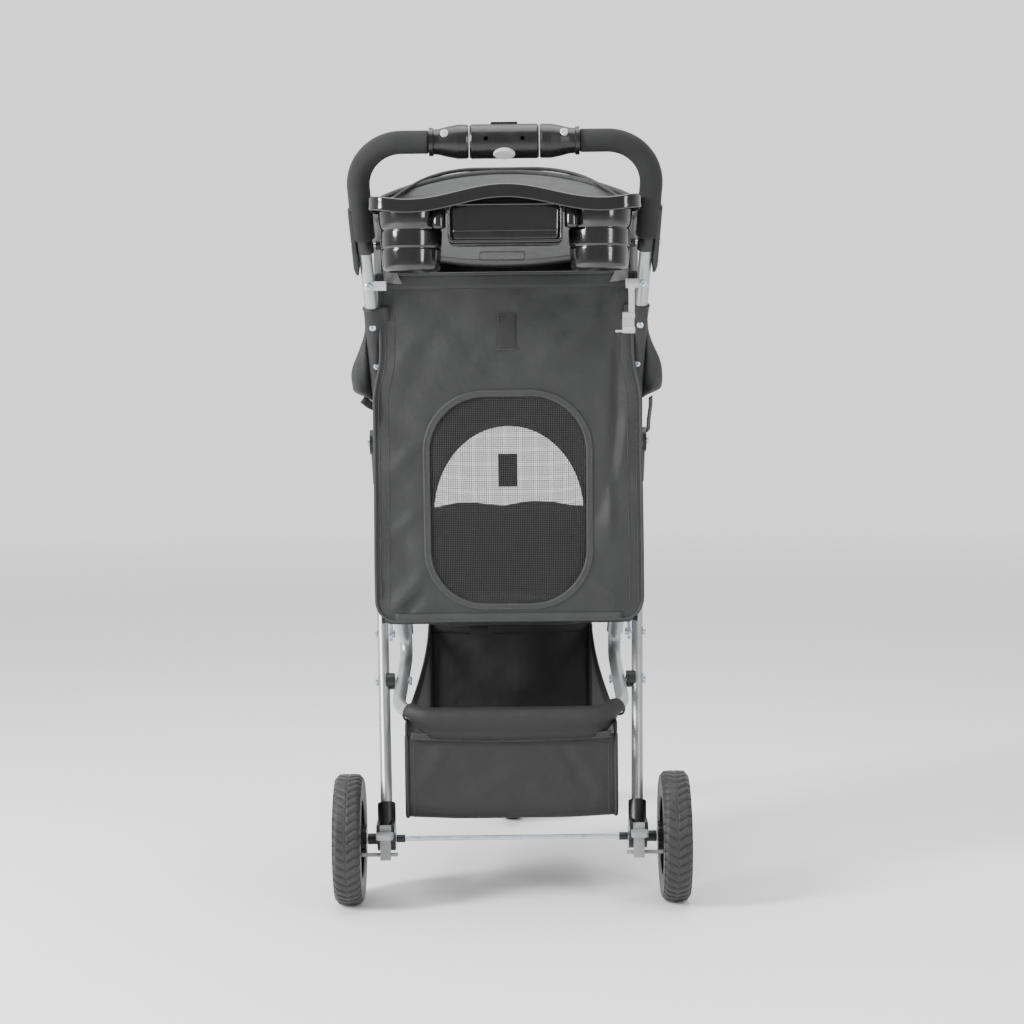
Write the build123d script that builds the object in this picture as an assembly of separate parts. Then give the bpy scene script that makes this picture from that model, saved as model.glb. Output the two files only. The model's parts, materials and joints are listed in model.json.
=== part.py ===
from build123d import *
import os
from math import cos, pi, radians, sin, tan

# Three-wheeled folding pet stroller, in millimetres.
# X runs to the right seen from behind, Y runs forward, Z runs up.
# While it is modelled, Y = 0 is the rear axle; save() then moves the origin to the
# middle of the overall length, on the ground.

SIDES = {"left": -1, "right": 1}
ORIGIN_Y = 242.0        # middle of the overall length, ahead of the rear axle
FIT = 0.05              # radial clearance of a running fit

# Wheels
WHEEL_R = 82.5
WHEEL_W = 35.0
WHEEL_X = 206.5
RIM_R = 50.0
AXLE_R = 3.0
AXLE_Z = WHEEL_R
BRAKE_BOSS_R = 18.0
FRONT_WHEEL_R = 76.0
FRONT_WHEEL_W = 34.0
FRONT_WHEEL_Y = 556.0

# Rear legs lean forward from the axle to the apex hinge
LEG_R = 7.5
LEG_LEAN = 27.0
LEG_X = 159.0
LEG_SPREAD = 0.0322     # outward travel per millimetre of leg
PIVOT_D = 211.6         # along the leg from the axle to the main pivot
APEX_D = 558.4          # along the leg from the axle to the apex hinge
APEX_OUT = 189.0        # outer face of the apex hinge
LOCK_D = 278.0          # along the leg from the axle to the lock plate's bolt
WALL = 1.5

# Handle and basket hoop
HUB_Y = -110.0
HUB_Z = 950.0
TUBE_R = 8.0
TUBE_TOP_X = 181.0
TUBE_LOW = (138.5, 180.0, 298.4)
GRIP_BEND = 54.0
FOAM_R = 14.0
HOOP_R = 8.5
HOOP_REAR = (145.0, -5.0, 238.0)
HOOP_BEND = 50.0
HUB_R = 20.75
BARREL_HALF = 41.6
CONE_END = 90.4
HUB_PRESS = Vector(0, -cos(radians(50)), -sin(radians(50)))    # the button faces back and down
LATCH_Z = 378.0         # height at which the latch pins cross the handle tubes

# Front legs and caster
FRONT_LEG_X = 150.0
KNEE = (FRONT_LEG_X, 400.0, 375.0)
CASTER = (24.0, 572.0, 196.0)
SWIVEL_Y = 584.0

# Cabin, hood and basket cloth
CLOTH = 3.0
FLOOR_Z = 348.0
HOOD_PIVOT = (-53.0, 831.0)
HOOD_HALF = 156.0
HOOD_START = 60.0
PANEL_LOW = (28.0, 352.0)
PANEL_TOP = (-23.3, 796.0)
BASKET_REAR_HALF = 128.0
BASKET_FRONT_HALF = 110.0
BASKET_FRONT_Y = 285.0
BASKET_Z = 114.0

HOOD_LOW_ANGLE = -36.0
# Hood sections: angle above level, reach, roundness of the corners, narrowing towards the front
HOOD_STATIONS = ((32.0, 178.0, 2.4, 0.0), (22.0, 265.0, 2.4, 0.0), (10.4, 366.0, 2.5, 4.0))
SCREEN_STATIONS = (
    (7.6, 374.0, 2.5, 4.0),
    (-8.0, 455.0, 3.2, 12.0),
    (-24.0, 535.0, 4.2, 20.0),
    (-35.0, 590.0, 4.8, 24.0),
)
BOW_R = 2.5
HOOD_PIN_R = 2.5
REAR_BOW_HALF = 156.5
FRONT_BOW_HALF = 148.5
REAR_BOW_ANGLE = 34.7
REAR_BOW_REACH = 184.0
FRONT_BOW_ANGLE = 9.0
FRONT_BOW_REACH = 363.0
WINDOW_MID = 160.0
FLAP_HEM = (-10.0, 807.0)
FLAP_UP = (0.6445, 0.7646)
CLIP_PIVOT = (154.0, -62.0, 779.0)

# Tray
TRAY_Y = -101.0
TRAY_HALF_Y = 47.0
CUP_X = 113.5
CUP_R = 40.5
CUP_FLOOR_Z = 795.0


def save(name, *shapes):
    """Write one node, as one solid or as a group of separate solids."""
    moved = [Pos(0, -ORIGIN_Y, 0) * shape for shape in shapes]
    node = moved[0] if len(moved) == 1 else Compound(children=moved)
    export_step(node, f"parts/{name}.step")


def rod(start, end, radius):
    """Round bar between two points."""
    line = Vector(*end) - Vector(*start)
    place = Plane(origin=start, z_dir=line)
    return place * Cylinder(radius, line.length, align=(Align.CENTER, Align.CENTER, Align.MIN))


def bar_x(x0, x1, y, z, radius):
    """Round bar along X."""
    return rod((min(x0, x1), y, z), (max(x0, x1), y, z), radius)


def block(x0, x1, y0, y1, z0, z1):
    """Box between two corners."""
    size = (abs(x1 - x0), abs(y1 - y0), abs(z1 - z0))
    return Pos((x0 + x1) / 2, (y0 + y1) / 2, (z0 + z1) / 2) * Box(*size)


def pipe(path, radius, wall):
    """Round tube along a path."""
    ring = Circle(radius) - Circle(radius - wall)
    return sweep(Plane(origin=path @ 0, z_dir=path % 0) * ring, path=path)


def turned_x(points, x=0, y=0, z=0):
    """Body of revolution about a line along X; points are (along X, radius)."""
    face = make_face(Polyline(*[(px, pr) for px, pr in points], close=True))
    return Pos(x, y, z) * revolve(face, Axis.X)


def bolt_x(x0, x1, y, z, radius, head=6.0, depth=3.5):
    """Bolt along X with a domed head at each end, as a bolt and cap nut."""
    low, high = min(x0, x1), max(x0, x1)
    body = bar_x(low - depth, high + depth, y, z, radius)
    ends = bar_x(low - depth, low, y, z, head) + bar_x(high, high + depth, y, z, head)
    whole = body + ends
    rims = whole.edges().filter_by(GeomType.CIRCLE).sort_by(Axis.X)
    return chamfer([rims[0], rims[-1]], 1.2)


def leg_point(side, d):
    """Point on a rear leg's centre line, d along it from the axle."""
    lean = radians(LEG_LEAN)
    return (side * (LEG_X + LEG_SPREAD * d), d * sin(lean), AXLE_Z + d * cos(lean))


def tube_point(side, z):
    """Point on the straight part of a handle tube, at height z."""
    part = (z - TUBE_LOW[2]) / (HUB_Z - TUBE_LOW[2])
    x = TUBE_LOW[0] + part * (TUBE_TOP_X - TUBE_LOW[0])
    y = TUBE_LOW[1] + part * (HUB_Y - TUBE_LOW[1])
    return (side * x, y, z)


PIVOT = leg_point(1, PIVOT_D)
APEX = leg_point(1, APEX_D)


# ---------------------------------------------------------------- rear frame

def rear_leg(side):
    """Straight steel leg with its bolt holes."""
    leg = rod(leg_point(side, 8), leg_point(side, APEX_D - 6), LEG_R)
    leg -= rod(leg_point(side, 0), leg_point(side, APEX_D), LEG_R - WALL)
    for d, radius in ((PIVOT_D, 4.0), (LOCK_D, 3.0), (APEX_D, 4.0)):
        x, y, z = leg_point(side, d)
        leg -= bar_x(x - 20, x + 20, y, z, radius)
    return leg


def axle_bracket(side):
    """Moulded socket that holds the leg's foot and the axle, with two ears for the pedal."""
    socket = rod(leg_point(side, 2), leg_point(side, 46), 11.5)
    boss = bar_x(side * 148, side * 171, 0, AXLE_Z, 15.0)
    ears = block(side * 148, side * 152, -34, 0, AXLE_Z + 2, AXLE_Z + 24)
    ears += block(side * 167, side * 171, -34, 0, AXLE_Z + 2, AXLE_Z + 24)
    bracket = socket + boss + ears
    bracket -= rod(leg_point(side, 7.9), leg_point(side, 60), LEG_R)
    bracket -= bar_x(side * 140, side * 180, 0, AXLE_Z, AXLE_R)
    bracket -= bar_x(side * 140, side * 180, -27, AXLE_Z + 15, 3.0)
    return bracket


def rear_axle():
    """Steel rod through both brackets and both hubs."""
    end = WHEEL_X + 17.4
    return chamfer(bar_x(-end, end, 0, AXLE_Z, AXLE_R).edges().filter_by(GeomType.CIRCLE), 0.6)


def axle_spacer(side, x0, x1, radius):
    """Spacer on the rear axle."""
    ring = bar_x(side * x0, side * x1, 0, AXLE_Z, radius)
    return ring - bar_x(side * x0, side * x1, 0, AXLE_Z, AXLE_R)


def apex_hinge(side):
    """Moulded cap on the leg's top end: a round eye with a tapered skirt down the leg."""
    x, y, z = leg_point(side, APEX_D)
    eye = bar_x(side * 164, side * APEX_OUT, y, z, 17.0)
    skirt_low = leg_point(side, APEX_D - 62)
    place = Plane(origin=skirt_low, z_dir=Vector(*leg_point(side, APEX_D)) - Vector(*skirt_low))
    skirt = place * Cone(9.2, 11.4, 60, align=(Align.CENTER, Align.CENTER, Align.MIN))
    peak = rod(leg_point(side, APEX_D + 4), leg_point(side, APEX_D + 30), 6.0)
    cap = eye + skirt + peak
    cap -= rod(leg_point(side, APEX_D - 70), leg_point(side, APEX_D - 6), LEG_R)
    return cap - bar_x(side * 150, side * 190, y, z, 4.0)


def lock_plate(side):
    """Steel plate on the inner side of the leg that the handle tube's latch pin rests on."""
    x = leg_point(side, LOCK_D)[0] - side * LEG_R
    _, y0, z0 = leg_point(side, LOCK_D - 2)
    _, y1, z1 = leg_point(side, LOCK_D + 31)
    outline = make_hull(
        [
            Pos(y0, z0) * CenterArc((0, 0), 9, 0, 360),
            Pos(y1, z1) * CenterArc((0, 0), 8, 0, 360),
        ]
    )
    face = Plane(origin=(x - side * 1.5, 0, 0), x_dir=(0, 1, 0), z_dir=(1, 0, 0)) * outline
    plate = extrude(face, amount=-side * 3.5)
    _, y, z = leg_point(side, LOCK_D)
    return plate - bar_x(x - 20, x + 20, y, z, 3.0)


def pivot_spacer(side):
    """Saddle spacer between the leg and the hoop arm at the main pivot."""
    _, y, z = PIVOT
    spacer = bar_x(side * 151.2, side * 163, y, z, 11.0)
    spacer -= rod(leg_point(side, PIVOT_D - 40), leg_point(side, PIVOT_D + 40), LEG_R)
    spacer -= bar_x(side * 140, side * 180, y, z, 4.0)
    return max(spacer.solids(), key=lambda solid: solid.volume)


def rear_frame_nodes():
    for name, side in SIDES.items():
        save(f"rear_leg_{name}", rear_leg(side))
        save(f"axle_bracket_{name}", axle_bracket(side))
        save(f"apex_hinge_{name}", apex_hinge(side))
        save(f"lock_plate_{name}", lock_plate(side))
    save("rear_axle", rear_axle())
    inner = [axle_spacer(side, 136, 147, 5.0) for side in SIDES.values()]
    outer = [axle_spacer(side, 171, 183.5, 7.0) for side in SIDES.values()]
    save("axle_spacers", *inner, *outer)
    save("pivot_spacers", *[pivot_spacer(side) for side in SIDES.values()])
    _, py, pz = PIVOT
    _, ay, az = APEX
    _, ly, lz = leg_point(1, LOCK_D)
    pivots = [bolt_x(s * 132.6, s * 173.6, py, pz, 4.0) for s in SIDES.values()]
    locks = [bolt_x(s * 155.4, s * 175.6, ly, lz, 3.0, 5.0) for s in SIDES.values()]
    save("frame_bolts", *pivots, *locks)
    save("apex_pins", *[bolt_x(s * 141.8, s * APEX_OUT, ay, az, 4.0, 6.5) for s in SIDES.values()])


# -------------------------------------------------------------- handle frame

def handle_path(side):
    """From inside the hub, out along the grip, round the corner and down to the ferrule."""
    start = (side * 46, HUB_Y, HUB_Z)
    corner = (side * TUBE_TOP_X, HUB_Y, HUB_Z)
    return FilletPolyline(start, corner, tube_point(side, TUBE_LOW[2] + 40), radius=GRIP_BEND)


def handle_tube(side):
    """Bent steel tube with a slot for the latch pin and a hole for the hood bolt."""
    tube = pipe(handle_path(side), TUBE_R, WALL)
    x, y, z = tube_point(side, LATCH_Z)
    top = tube_point(side, LATCH_Z + 14)
    slot = make_hull(
        [Pos(y, z) * CenterArc((0, 0), 3.2, 0, 360), Pos(top[1], top[2]) * CenterArc((0, 0), 3.2, 0, 360)]
    )
    face = Plane(origin=(x, 0, 0), x_dir=(0, 1, 0), z_dir=(1, 0, 0)) * slot
    y, z = HOOD_PIVOT
    return tube - extrude(face, amount=12, both=True) - bar_x(side * 160, side * 172, y, z, HOOD_PIN_R)


def foam_grip(side):
    """Foam sleeve round the grip's straight part and corner."""
    start = (side * CONE_END, HUB_Y, HUB_Z)
    corner = (side * TUBE_TOP_X, HUB_Y, HUB_Z)
    path = FilletPolyline(start, corner, tube_point(side, 838), radius=GRIP_BEND)
    foam = pipe(path, FOAM_R, FOAM_R - TUBE_R)
    ends = foam.edges().filter_by(GeomType.CIRCLE).filter_by(lambda e: abs(e.radius - FOAM_R) < 0.01)
    return fillet([ends.sort_by(Axis.Z)[0], ends.sort_by(Axis.X)[0 if side > 0 else -1]], 3.0)


def hub_cone(side):
    """Fixed end of the hub: collar, waist and flare up to the barrel."""
    profile = [(42.8, TUBE_R), (42.8, 19.5), (45.5, 20.5), (56, 20.5), (68, 18.2), (78, 15.6),
               (84.5, 15.0), (85.5, 17.0), (CONE_END, 17.0), (CONE_END, TUBE_R)]
    return turned_x([(side * x, r) for x, r in profile], 0, HUB_Y, HUB_Z)


def hub_barrel():
    """Twist barrel between the two cones, hollow, with a rib on top and a button well."""
    h = BARREL_HALF
    profile = [(-h, 9.0), (-h, 19.0), (-h + 2.5, HUB_R), (h - 2.5, HUB_R), (h, 19.0), (h, 9.0),
               (h - 3, 9.0), (h - 3, 16.5), (-h + 3, 16.5), (-h + 3, 9.0)]
    barrel = turned_x(profile, 0, HUB_Y, HUB_Z)
    rib = block(-16, 16, HUB_Y - 2.5, HUB_Y + 2.5, HUB_Z + 18, HUB_Z + HUB_R + 2.2)
    for x in (-22.0, 22.0):
        barrel -= Pos(x, HUB_Y - HUB_R, HUB_Z + 1.5) * Rot(90, 0, 0) * Cylinder(2.6, 16)
    well = button_plane() * extrude(Ellipse(13.4, 8.4), amount=12, both=True)
    return barrel + (rib - bar_x(-40, 40, HUB_Y, HUB_Z, 18)) - well


def button_plane():
    """Plane at the barrel's skin, facing out of the button well."""
    centre = Vector(0, HUB_Y, HUB_Z) + HUB_PRESS * HUB_R
    return Plane(origin=centre, x_dir=(1, 0, 0), z_dir=HUB_PRESS)


def hub_button():
    """Oval push button, 2.5 mm proud of the barrel, with a stem."""
    key = button_plane() * extrude(Ellipse(13.1, 8.1), amount=2.5)
    key += button_plane() * extrude(Ellipse(13.1, 8.1), amount=-5)
    edge = key.edges().filter_by(GeomType.ELLIPSE).sort_by(lambda e: e.center().Y)[0]
    return fillet(edge, 1.6)


def latch_pin(side):
    """Cross pin of the fold lock, in the handle tube's slot."""
    x, y, z = tube_point(side, LATCH_Z)
    pin = bar_x(x - side * 8.6, x + side * 14.5, y, z, 2.9)
    low = tube_point(side, LATCH_Z - 6)
    high = tube_point(side, LATCH_Z + 22)
    return pin + rod(low, high, 6.2)


def basket_hoop():
    """U-shaped tube: down from each ferrule, back past the pivot and across the rear."""
    upper = tube_point(1, TUBE_LOW[2] + 36)
    right = [upper, TUBE_LOW, HOOP_REAR]
    left = [(-x, y, z) for x, y, z in reversed(right)]
    path = FilletPolyline(*right, *left, radius=[27, HOOP_BEND, HOOP_BEND, 27])
    hoop = pipe(path, HOOP_R, WALL)
    _, py, pz = PIVOT
    for side in SIDES.values():
        hoop -= bar_x(side * 120, side * 170, py, pz, 4.0 + FIT)
    return hoop


def tube_ferrule(side):
    """Moulded collar joining the handle tube to the hoop."""
    low = tube_point(side, TUBE_LOW[2] + 28)
    high = tube_point(side, TUBE_LOW[2] + 50)
    middle = tube_point(side, TUBE_LOW[2] + 38)
    collar = rod(low, high, 11.0) - rod(low, middle, HOOP_R)
    return collar - rod(middle, high, TUBE_R)


def tray_band():
    """Wavy rim of the tray: arched in the middle, dipping over each cup."""
    top = Spline((-160, 884), (-98, 880), (0, 897), (98, 880), (160, 884))
    low = Spline((160, 868), (98, 863), (0, 880), (-98, 863), (-160, 868))
    side_r = Line((160, 884), (160, 868))
    side_l = Line((-160, 868), (-160, 884))
    face = make_face([top, side_r, low, side_l])
    place = Plane(origin=(0, TRAY_Y, 0), x_dir=(1, 0, 0), z_dir=(0, -1, 0))
    band = extrude(place * face, amount=TRAY_HALF_Y, both=True)
    plan = RectangleRounded(320, 2 * TRAY_HALF_Y, 30)
    return band & (Pos(0, TRAY_Y, 850) * extrude(plan, amount=60))


def tray():
    """Console with two cup wells and a middle compartment, in one moulding."""
    body = tray_band()
    for side in SIDES.values():
        cup = Pos(side * CUP_X, TRAY_Y, CUP_FLOOR_Z)
        body += cup * Cone(36.5, CUP_R, 86, align=(Align.CENTER, Align.CENTER, Align.MIN))
    body += block(-70, 70, TRAY_Y - 38, TRAY_Y + 38, 826, 884)
    for side in SIDES.values():
        cup = Pos(side * CUP_X, TRAY_Y, CUP_FLOOR_Z)
        well = Cone(34.0, 38.5, 110, align=(Align.CENTER, Align.CENTER, Align.MIN))
        body -= cup * Pos(0, 0, 3) * well
    hollow = extrude(RectangleRounded(134, 70, 16), amount=90)
    body -= Pos(0, TRAY_Y, 829) * hollow
    for side in SIDES.values():
        body -= rod(tube_point(side, 780), tube_point(side, 930), FOAM_R + 0.6)
    return max(body.solids(), key=lambda solid: solid.volume)


def hood_bracket(side):
    """Strip clipped to the handle tube's outer side that carries the hood bows."""
    low = Vector(*tube_point(side, 799))
    high = Vector(*tube_point(side, 834))
    place = Plane(origin=low, x_dir=(1, 0, 0), z_dir=high - low)
    sleeve = place * Cylinder(10.5, (high - low).length, align=(Align.CENTER, Align.CENTER, Align.MIN))
    sleeve -= place * Cylinder(TUBE_R, 60, align=(Align.CENTER, Align.CENTER, Align.MIN))
    y, z = HOOD_PIVOT
    boss = bar_x(side * 160.4, side * 170, y, z, 8.0)
    keep_clear = place * Pos(0, 0, -20) * Cylinder(TUBE_R, 120, align=(Align.CENTER, Align.CENTER, Align.MIN))
    whole = sleeve + boss - keep_clear - bar_x(side * 150, side * 190, y, z, HOOD_PIN_R)
    return max(whole.solids(), key=lambda solid: solid.volume)


def arch(half, reach):
    """Arch in the XY plane made of straight runs joined by the largest arcs that fit them."""
    right = [Vector(half, 0), Vector(half, 0.52 * reach), Vector(0.55 * half, reach)]
    points = right + [Vector(-point.X, point.Y) for point in reversed(right)]
    radii = []
    for before, here, after in zip(points, points[1:], points[2:]):
        turn = radians((here - before).get_angle(after - here))
        run = min((here - before).length, (after - here).length)
        radii.append(0.45 * run / tan(turn / 2))
    return FilletPolyline(*points, radius=radii)


def bow(half, angle, reach, radius):
    """Hood bow: a half-hoop of rod from hinge to hinge, at an angle above level, with an eye at each end."""
    y, z = HOOD_PIVOT
    lean = radians(angle)
    place = Plane(origin=(0, y, z), x_dir=(1, 0, 0), z_dir=(0, -sin(lean), cos(lean)))
    path = place * arch(half, reach)
    whole = sweep(Plane(origin=path @ 0, z_dir=path % 0) * Circle(radius), path=path)
    for side in SIDES.values():
        whole += bar_x(side * half - radius - 0.6, side * half + radius + 0.6, y, z, 6.0)
        whole -= bar_x(side * half - 5, side * half + 5, y, z, HOOD_PIN_R + FIT)
    return whole


def hood_pin(side):
    """Headed pin from inside the hood, through both bows' eyes, into the bracket and tube."""
    y, z = HOOD_PIVOT
    head = bar_x(side * 141.6, side * 144.8, y, z, 5.5)
    return head + bar_x(side * 144.8, side * 171.5, y, z, HOOD_PIN_R)


def storage_clip():
    """Arm with an open C clip that holds the folded frame together."""
    x, y, z = CLIP_PIVOT
    eye = bar_x(x - 4, x + 4, y, z, 7.0)
    arm = block(x - 3.5, x + 3.5, y - 3.5, y + 3.5, z - 36, z - 4)
    jaw_z = z - 47
    jaw = bar_x(x - 11, x + 3.5, y - 2, jaw_z, 13.0) - bar_x(x - 14, x + 8, y - 2, jaw_z, 9.6)
    jaw -= block(x - 14, x + 8, y - 20, y - 4, jaw_z - 6, jaw_z + 6)
    tab = block(x - 20, x - 10, y - 4, y + 2, jaw_z - 11.5, jaw_z - 8.5)
    clip = eye + arm + jaw + (tab - bar_x(x - 22, x + 8, y - 2, jaw_z, 9.6))
    return clip - bar_x(x - 9, x + 9, y, z, 2.5 + FIT)


def cabin_bracket(side):
    """Moulded saddle on a handle tube that carries the cabin's top corner."""
    x, y, z = tube_point(side, 779)
    low = Vector(*tube_point(side, 770))
    high = Vector(*tube_point(side, 788))
    place = Plane(origin=low, x_dir=(1, 0, 0), z_dir=high - low)
    height = (high - low).length
    ring = place * Cylinder(11.0, height, align=(Align.CENTER, Align.CENTER, Align.MIN))
    tongue = block(x - side * 9, x - side * 5, y - 18, y - 4, z - 8, z + 8)
    tube = place * Pos(0, 0, -20) * Cylinder(TUBE_R, 90, align=(Align.CENTER, Align.CENTER, Align.MIN))
    return ring + tongue - tube


def handle_nodes():
    for name, side in SIDES.items():
        save(f"handle_tube_{name}", handle_tube(side))
        save(f"foam_grip_{name}", foam_grip(side))
        save(f"hub_cone_{name}", hub_cone(side))
        save(f"latch_pin_{name}", latch_pin(side))
        save(f"hood_bracket_{name}", hood_bracket(side))
    save("tube_ferrules", *[tube_ferrule(side) for side in SIDES.values()])
    save("cabin_brackets", *[cabin_bracket(side) for side in SIDES.values()])
    save("hood_pins", *[hood_pin(side) for side in SIDES.values()])
    save("hub_barrel", hub_barrel())
    save("hub_button", hub_button())
    save("basket_hoop", basket_hoop())
    save("tray", tray())
    save("hood_rear_bow", bow(REAR_BOW_HALF, REAR_BOW_ANGLE, REAR_BOW_REACH, BOW_R))
    save("hood_front_bow", bow(FRONT_BOW_HALF, FRONT_BOW_ANGLE, FRONT_BOW_REACH, BOW_R))
    save("storage_clip", storage_clip())


# --------------------------------------------------------------- front frame

def front_leg(side):
    """Bent steel leg from the apex hinge, past the knee, to the caster head."""
    eye = Vector(side * FRONT_LEG_X, APEX[1], APEX[2])
    knee = Vector(side * KNEE[0], KNEE[1], KNEE[2])
    down = (knee - eye).normalized()
    foot = (side * CASTER[0], CASTER[1], CASTER[2])
    path = FilletPolyline(eye + down * 12, knee, foot, radius=45)
    return pipe(path, LEG_R, WALL)


def front_leg_eye(side):
    """Moulded eye on the front leg's top end, turning on the apex pin."""
    x, y, z = side * FRONT_LEG_X, APEX[1], APEX[2]
    knee = Vector(side * KNEE[0], KNEE[1], KNEE[2])
    down = (knee - Vector(x, y, z)).normalized()
    eye = bar_x(x - side * 8, x + side * 8, y, z, 13.0)
    skirt = rod(Vector(x, y, z) + down * 9, Vector(x, y, z) + down * 40, 9.4)
    whole = eye + skirt - rod(Vector(x, y, z) + down * 11.9, Vector(x, y, z) + down * 60, LEG_R)
    return whole - bar_x(x - side * 12, x + side * 12, y, z, 4.0 + FIT)


def caster_housing():
    """Moulding that holds both front legs' feet and the swivel's stem."""
    barrel = rod((0, SWIVEL_Y, 172), (0, SWIVEL_Y, 214), 19.0)
    barrel = fillet(barrel.edges().filter_by(GeomType.CIRCLE).sort_by(Axis.Z)[-1], 6)
    arms = [rod((side * 6, SWIVEL_Y - 2, 190), caster_arm(side), 11.0) for side in SIDES.values()]
    housing = barrel + arms[0] + arms[1]
    for side in SIDES.values():
        foot = Vector(side * CASTER[0], CASTER[1], CASTER[2])
        knee = Vector(side * KNEE[0], KNEE[1], KNEE[2])
        housing -= rod(foot, foot + (knee - foot) * 0.6, LEG_R)
    return housing - rod((0, SWIVEL_Y, 160), (0, SWIVEL_Y, 204), 6.0 + FIT)


def caster_arm(side):
    """End of the housing's socket for one front leg."""
    foot = Vector(side * CASTER[0], CASTER[1], CASTER[2])
    knee = Vector(side * KNEE[0], KNEE[1], KNEE[2])
    return foot + (knee - foot) * 0.14


def front_fork():
    """Swivel stem, crown and two blades down to the front axle."""
    stem = rod((0, SWIVEL_Y, 166), (0, SWIVEL_Y, 203.6), 6.0)
    crown = block(-27, 27, SWIVEL_Y - 26, SWIVEL_Y + 12, 161, 171.5)
    crown = fillet(crown.edges().filter_by(Axis.Z), 9)
    fork = crown + stem
    for side in SIDES.values():
        blade = make_hull(
            [
                Pos(SWIVEL_Y - 7, 164) * CenterArc((0, 0), 17, 0, 360),
                Pos(FRONT_WHEEL_Y, FRONT_WHEEL_R) * CenterArc((0, 0), 10, 0, 360),
            ]
        )
        face = Plane(origin=(side * 21, 0, 0), x_dir=(0, 1, 0), z_dir=(1, 0, 0)) * blade
        fork += extrude(face, amount=side * 5) & block(-40, 40, 400, 700, 40, 171)
    return fork - bar_x(-40, 40, FRONT_WHEEL_Y, FRONT_WHEEL_R, 3.0)


# --------------------------------------------------------------------- wheels

def tyre(radius, width):
    """Foam-rubber tyre, crowned across the tread, about the X axis."""
    h = width / 2
    profile = [(-h + 2, RIM_R), (-h + 1, RIM_R + 6), (-h, radius - 14), (-h + 2.5, radius - 5),
               (-h + 8, radius - 1.2), (0, radius), (h - 8, radius - 1.2), (h - 2.5, radius - 5),
               (h, radius - 14), (h - 1, RIM_R + 6), (h - 2, RIM_R)]
    return turned_x(profile)


def wheel_centre(width, hub_r, bore):
    """Dished wheel centre: rim, web with round windows, and hub with a running bore."""
    h = width / 2
    profile = [(-h, bore), (-h, hub_r), (-4, hub_r), (-3, RIM_R - 6), (-h + 4, RIM_R - 4),
               (-h + 3, RIM_R), (h - 3, RIM_R), (h - 4, RIM_R - 4), (3, RIM_R - 6), (4, hub_r),
               (h, hub_r), (h, bore)]
    centre = turned_x(profile)
    ring = (RIM_R - 6 + hub_r) / 2
    for step in range(6):
        turn = step * pi / 3
        centre -= bar_x(-20, 20, ring * cos(turn), ring * sin(turn), 8.0)
    return centre


def rear_wheel_centre(side):
    """Rear wheel centre with the toothed brake boss on its inner side."""
    centre = wheel_centre(WHEEL_W - 3, 15.0, AXLE_R + FIT)
    boss = bar_x(-side * 21.5, -side * 12, 0, 0, BRAKE_BOSS_R)
    for step in range(12):
        turn = step * pi / 6
        notch = bar_x(-side * 30, -side * 15.9, BRAKE_BOSS_R * cos(turn), BRAKE_BOSS_R * sin(turn), 3.0)
        boss -= notch
    centre += boss - bar_x(-40, 40, 0, 0, AXLE_R + FIT)
    return Pos(side * WHEEL_X, 0, AXLE_Z) * centre


def wheel_nodes():
    for name, side in SIDES.items():
        save(f"rear_tyre_{name}", Pos(side * WHEEL_X, 0, AXLE_Z) * tyre(WHEEL_R, WHEEL_W))
        save(f"rear_wheel_centre_{name}", rear_wheel_centre(side))
        save(f"brake_pedal_{name}", brake_pedal(side))
    place = Pos(0, FRONT_WHEEL_Y, FRONT_WHEEL_R)
    save("front_tyre", place * tyre(FRONT_WHEEL_R, FRONT_WHEEL_W))
    save("front_wheel_centre", place * wheel_centre(FRONT_WHEEL_W - 2, 13.0, 3.0 + FIT))
    save("front_axle", bolt_x(-26, 26, FRONT_WHEEL_Y, FRONT_WHEEL_R, 3.0, 6.0))
    save("axle_caps", *[axle_cap(side) for side in SIDES.values()])


def axle_cap(side):
    """Push-on washer near each end of the rear axle."""
    ring = bar_x(side * (WHEEL_X + 16.3), side * (WHEEL_X + 17.4), 0, AXLE_Z, 9.0)
    return ring - bar_x(side * WHEEL_X, side * (WHEEL_X + 20), 0, AXLE_Z, AXLE_R)


def brake_pedal(side):
    """Foot lever between the bracket's ears, with the pin that reaches the toothed boss."""
    x = side * 159.5
    pedal = bar_x(x - 7.3, x + 7.3, -27, AXLE_Z + 15, 7.5)
    plate = block(x - 10.5, x + 10.5, -61.5, -38, AXLE_Z + 10, AXLE_Z + 16)
    plate = fillet(plate.edges().filter_by(Axis.Z), 4)
    arm = block(x - 6.5, x + 6.5, -39, -27, AXLE_Z - 20, AXLE_Z + 14)
    pedal += plate + arm
    pedal -= bar_x(x - 12, x + 12, -27, AXLE_Z + 15, 3.0 + FIT)
    return pedal + bar_x(side * 144, side * 190, -31.5, AXLE_Z - 14, 2.5)


def brake_hinge_pins():
    """Pins of the two brake pedals."""
    return [bar_x(s * 147.5, s * 171.5, -27, AXLE_Z + 15, 3.0) for s in SIDES.values()]


# ---------------------------------------------------------------------- cloth

CABIN_LEVELS = (
    # height, then (half-width, Y) of the wall's rear edge, knee, waist, shoulder and front edge
    (FLOOR_Z + 4, (160, 31), (130, 110), (129, 230), (124, 350), (102, 412)),
    (500, (160, 14), (139, 62), (133, 220), (127, 350), (104, 412)),
    (640, (158, -3), (150, 14), (134, 210), (128, 350), (104, 412)),
    (700, (154, -9), (152, 4), (136, 210), (130, 350), (104, 412)),
    (785, (154, -18), (152, -4), (138, 210), (131, 350), (104, 412)),
)


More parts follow.
